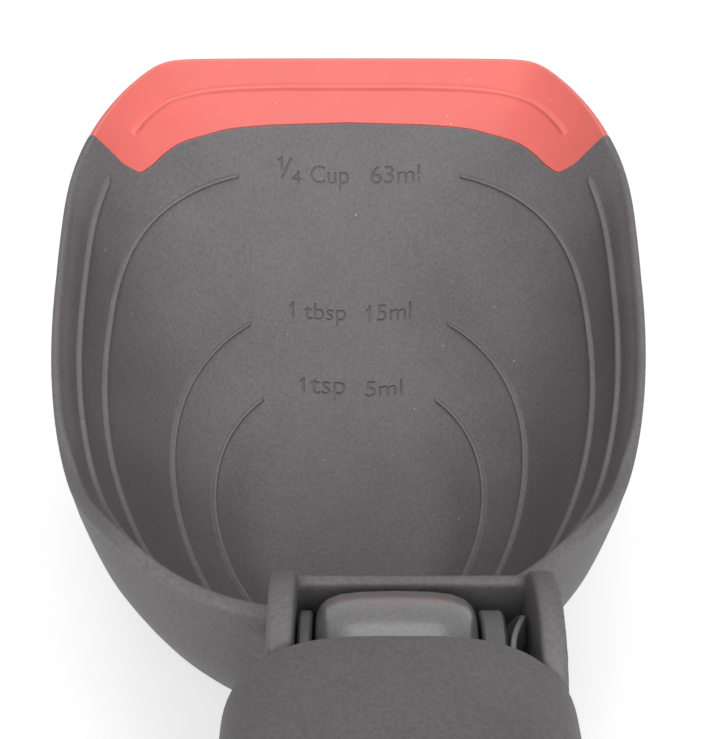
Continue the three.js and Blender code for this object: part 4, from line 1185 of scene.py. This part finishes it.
# Friction stack. Between the tongue and the ears sit an acetal collar on the left, and a steel
# washer with a blackened wave spring on the right, which keep the handle where it is put.
STACK_RADIUS = TONGUE_RADIUS - 2.0
WASHER_THICK = 2.4
collar_end = HINGE_X - half_tongue - CLEARANCE
collar_profile = ring_profile(slot_left + CLEARANCE, collar_end, PIN_RADIUS + CLEARANCE, STACK_RADIUS, 0.25)
collar = turned("spacer_collar", collar_profile, hinge_middle, 0, on_table, black_acetal, hollow=True)
fit(collar, "handle", "spacer_collar")
washer_start = HINGE_X + half_tongue + CLEARANCE
# Blackened steel: the wave spring's own finish, and on the steel washer, painted shade for the dark slot.
blackened_steel_and_painted_shade = turned_steel("blackened_steel_and_painted_shade", (0.09, 0.09, 0.095), 0.5, (7000, 300, 300), bare=0.25)
washer_profile = ring_profile(
    washer_start, washer_start + WASHER_THICK, PIN_RADIUS + CLEARANCE, STACK_RADIUS, 0.25
)
washer = turned("pressure_washer", washer_profile, hinge_middle, 0, on_table, blackened_steel_and_painted_shade, hollow=True)
fit(washer, "handle", "pressure_washer")

spring_start = washer_start + WASHER_THICK + CLEARANCE
spring_room = slot_right - CLEARANCE - spring_start
STRIP_THICK = 0.6
spring_inner = PIN_RADIUS + 0.9
spring_outer = STACK_RADIUS - 0.5
strip_section = ring_profile(-STRIP_THICK / 2, STRIP_THICK / 2, spring_inner, spring_outer, 0.08)
spring_loops = []
for a in np.linspace(0, 2 * math.pi, 180, endpoint=False):
    wave = (spring_room - STRIP_THICK) / 2 * math.sin(3 * a)
    middle = spring_start + spring_room / 2 + wave
    for place, radius in strip_section:
        spring_loops.append((middle + place, PIN_Y + radius * math.cos(a), PIN_Z + radius * math.sin(a)))
spring_faces = ring_faces(180, len(strip_section), closed_rows=True)
spring = make_piece("wave_spring", on_table(np.array(spring_loops)), spring_faces, blackened_steel_and_painted_shade)
fit(spring, "head", "wave_spring")

# Hinge pin. A turned stainless pin that passes through both ears, the stack and the tongue. Its ends
# stop short of the caps.
pin_steel = turned_steel("pin_steel", (0.62, 0.62, 0.63), 0.3, (8000, 300, 300))
pin_half = EARS_APART / 2 + EAR_WALL - CAP_THICK - 2 * CLEARANCE
pin_profile = [
    (EARS_MIDDLE - pin_half, PIN_RADIUS - 0.4),
    (EARS_MIDDLE - pin_half + 0.4, PIN_RADIUS),
    (EARS_MIDDLE + pin_half - 0.4, PIN_RADIUS),
    (EARS_MIDDLE + pin_half, PIN_RADIUS - 0.4),
]
pin = turned("hinge_pin", pin_profile, hinge_middle, 0, on_table, pin_steel)
fit(pin, "head", "hinge_pin")

# Pin caps. Two slightly domed discs of moulded nylon, pressed into the ears to hide the ends of
# the pin.
cap_nylon = moulded_nylon("cap_nylon", (0.1, 0.098, 0.102), 0.55, 0.4)
cap_shape = [
    (0, CAP_RADIUS - 0.2),
    (0.2, CAP_RADIUS),
    (CAP_THICK - 0.4, CAP_RADIUS),
    (CAP_THICK - 0.2, CAP_RADIUS - 0.08),
    (CAP_THICK - 0.05, CAP_RADIUS - 0.28),
    (CAP_THICK, CAP_RADIUS - 0.55),
    (CAP_THICK + 0.1, CAP_RADIUS - 1.8),
    (CAP_THICK + 0.17, 1.2),
    (CAP_THICK + 0.2, 0.3),
]
cap_inside = EARS_APART / 2 + EAR_WALL - CAP_THICK - 0.1
for name, way in [("pin_cap_left", -1), ("pin_cap_right", 1)]:
    cap_profile = [(EARS_MIDDLE + way * (cap_inside + place), radius) for place, radius in cap_shape]
    cap = turned(name, cap_profile, hinge_middle, 0, on_table, cap_nylon)
    fit(cap, "head", name)

# Studio. A white table, a pale surround and three large soft lamps: one past the end of the handle,
# one above the bowl and one at the right.
TABLE_HALF = 6.0
LAMP_SIZE = 0.6
LAMP_AIM = Vector((0, 0.09, 0.04))


def to_the_eye(stage):
    """Whether a ray comes from the camera, or by way of metal or glass."""
    rays = node(stage, "LightPath").outputs
    eye = rays["Is Camera Ray"]
    for way in ("Is Glossy Ray", "Is Transmission Ray"):
        either = node(stage, "Math", operation="MAXIMUM")
        link(eye, either.inputs[0])
        link(rays[way], either.inputs[1])
        eye = either.outputs["Value"]
    return eye


# A lift makes the lit table white to the eye. It is less near the spoon, so that the shadow shows.
floor_paint, floor_shader, floor_place = plain_material("table_white")
floor_shader.inputs["Base Color"].default_value = (0.86, 0.86, 0.86, 1)
floor_shader.inputs["Roughness"].default_value = 0.7
away_from = node(floor_paint, "VectorMath", operation="LENGTH")
link(floor_place, away_from.inputs[0])
lift = node(floor_paint, "Math", operation="MULTIPLY")
link(to_the_eye(floor_paint), lift.inputs[0])
link(ranged(floor_paint, away_from.outputs["Value"], 0.56, 1.0, 0.2, 1.2), lift.inputs[1])
white = node(floor_paint, "Emission", Color=(1, 1, 1, 1))
link(lift.outputs["Value"], white.inputs["Strength"])
both = node(floor_paint, "AddShader")
link(floor_shader.outputs["BSDF"], both.inputs[0])
link(white.outputs["Emission"], both.inputs[1])
link(both.outputs["Shader"], floor_paint.node_tree.nodes["Material Output"].inputs["Surface"])
floor_mesh = bpy.data.meshes.new("table")
table_corners = [(x * TABLE_HALF, y * TABLE_HALF, 0) for x, y in [(-1, -1), (1, -1), (1, 1), (-1, 1)]]
floor_mesh.from_pydata(table_corners, [], [(0, 1, 2, 3)])
floor_mesh.materials.append(floor_paint)
table = in_scene("table", floor_mesh)

world = bpy.data.worlds.new("surround")
bpy.context.scene.world = world
world.use_nodes = True
sky = world.node_tree.nodes["Background"]
sky.inputs["Color"].default_value = (1, 1, 1, 1)
link(ranged(world, to_the_eye(world), 0.06, 1.0), sky.inputs["Strength"])

for name, place, power in [
    ("front_box", (0.0, -0.85, 0.42), 8.2),
    ("top_box", (0.0, 0.09, 1.0), 2.5),
    ("side_box", (0.85, -0.35, 0.3), 1.6),
]:
    lamp = bpy.data.lights.new(name, "AREA")
    lamp.shape = "SQUARE"
    lamp.size = LAMP_SIZE
    lamp.energy = power
    holder = in_scene(name, lamp)
    holder.location = place
    holder.rotation_euler = (LAMP_AIM - Vector(place)).to_track_quat("-Z", "Y").to_euler()

bpy.context.scene.view_settings.view_transform = "Standard"

# Camera. It stands over the handle and looks down into the bowl, as the photograph does. The focal
# length is in pixels of the photograph.
IMAGE_WIDE = 707
FOCAL_PIXELS = 1487.5
SENSOR_WIDE = 36
CAMERA_PLACE = [0.67, -127.105, 154.498]
LOOK_DOWN = math.radians(52) - LAID_BACK
camera_data = bpy.data.cameras.new("camera")
camera_data.sensor_fit = "HORIZONTAL"
camera_data.sensor_width = SENSOR_WIDE
camera_data.lens = SENSOR_WIDE * FOCAL_PIXELS / IMAGE_WIDE
camera_data.clip_start = 0.005
camera = in_scene("camera", camera_data)
camera.location = on_table(CAMERA_PLACE)
camera.rotation_euler = (math.pi / 2 - LOOK_DOWN, 0, 0)
bpy.context.scene.camera = camera
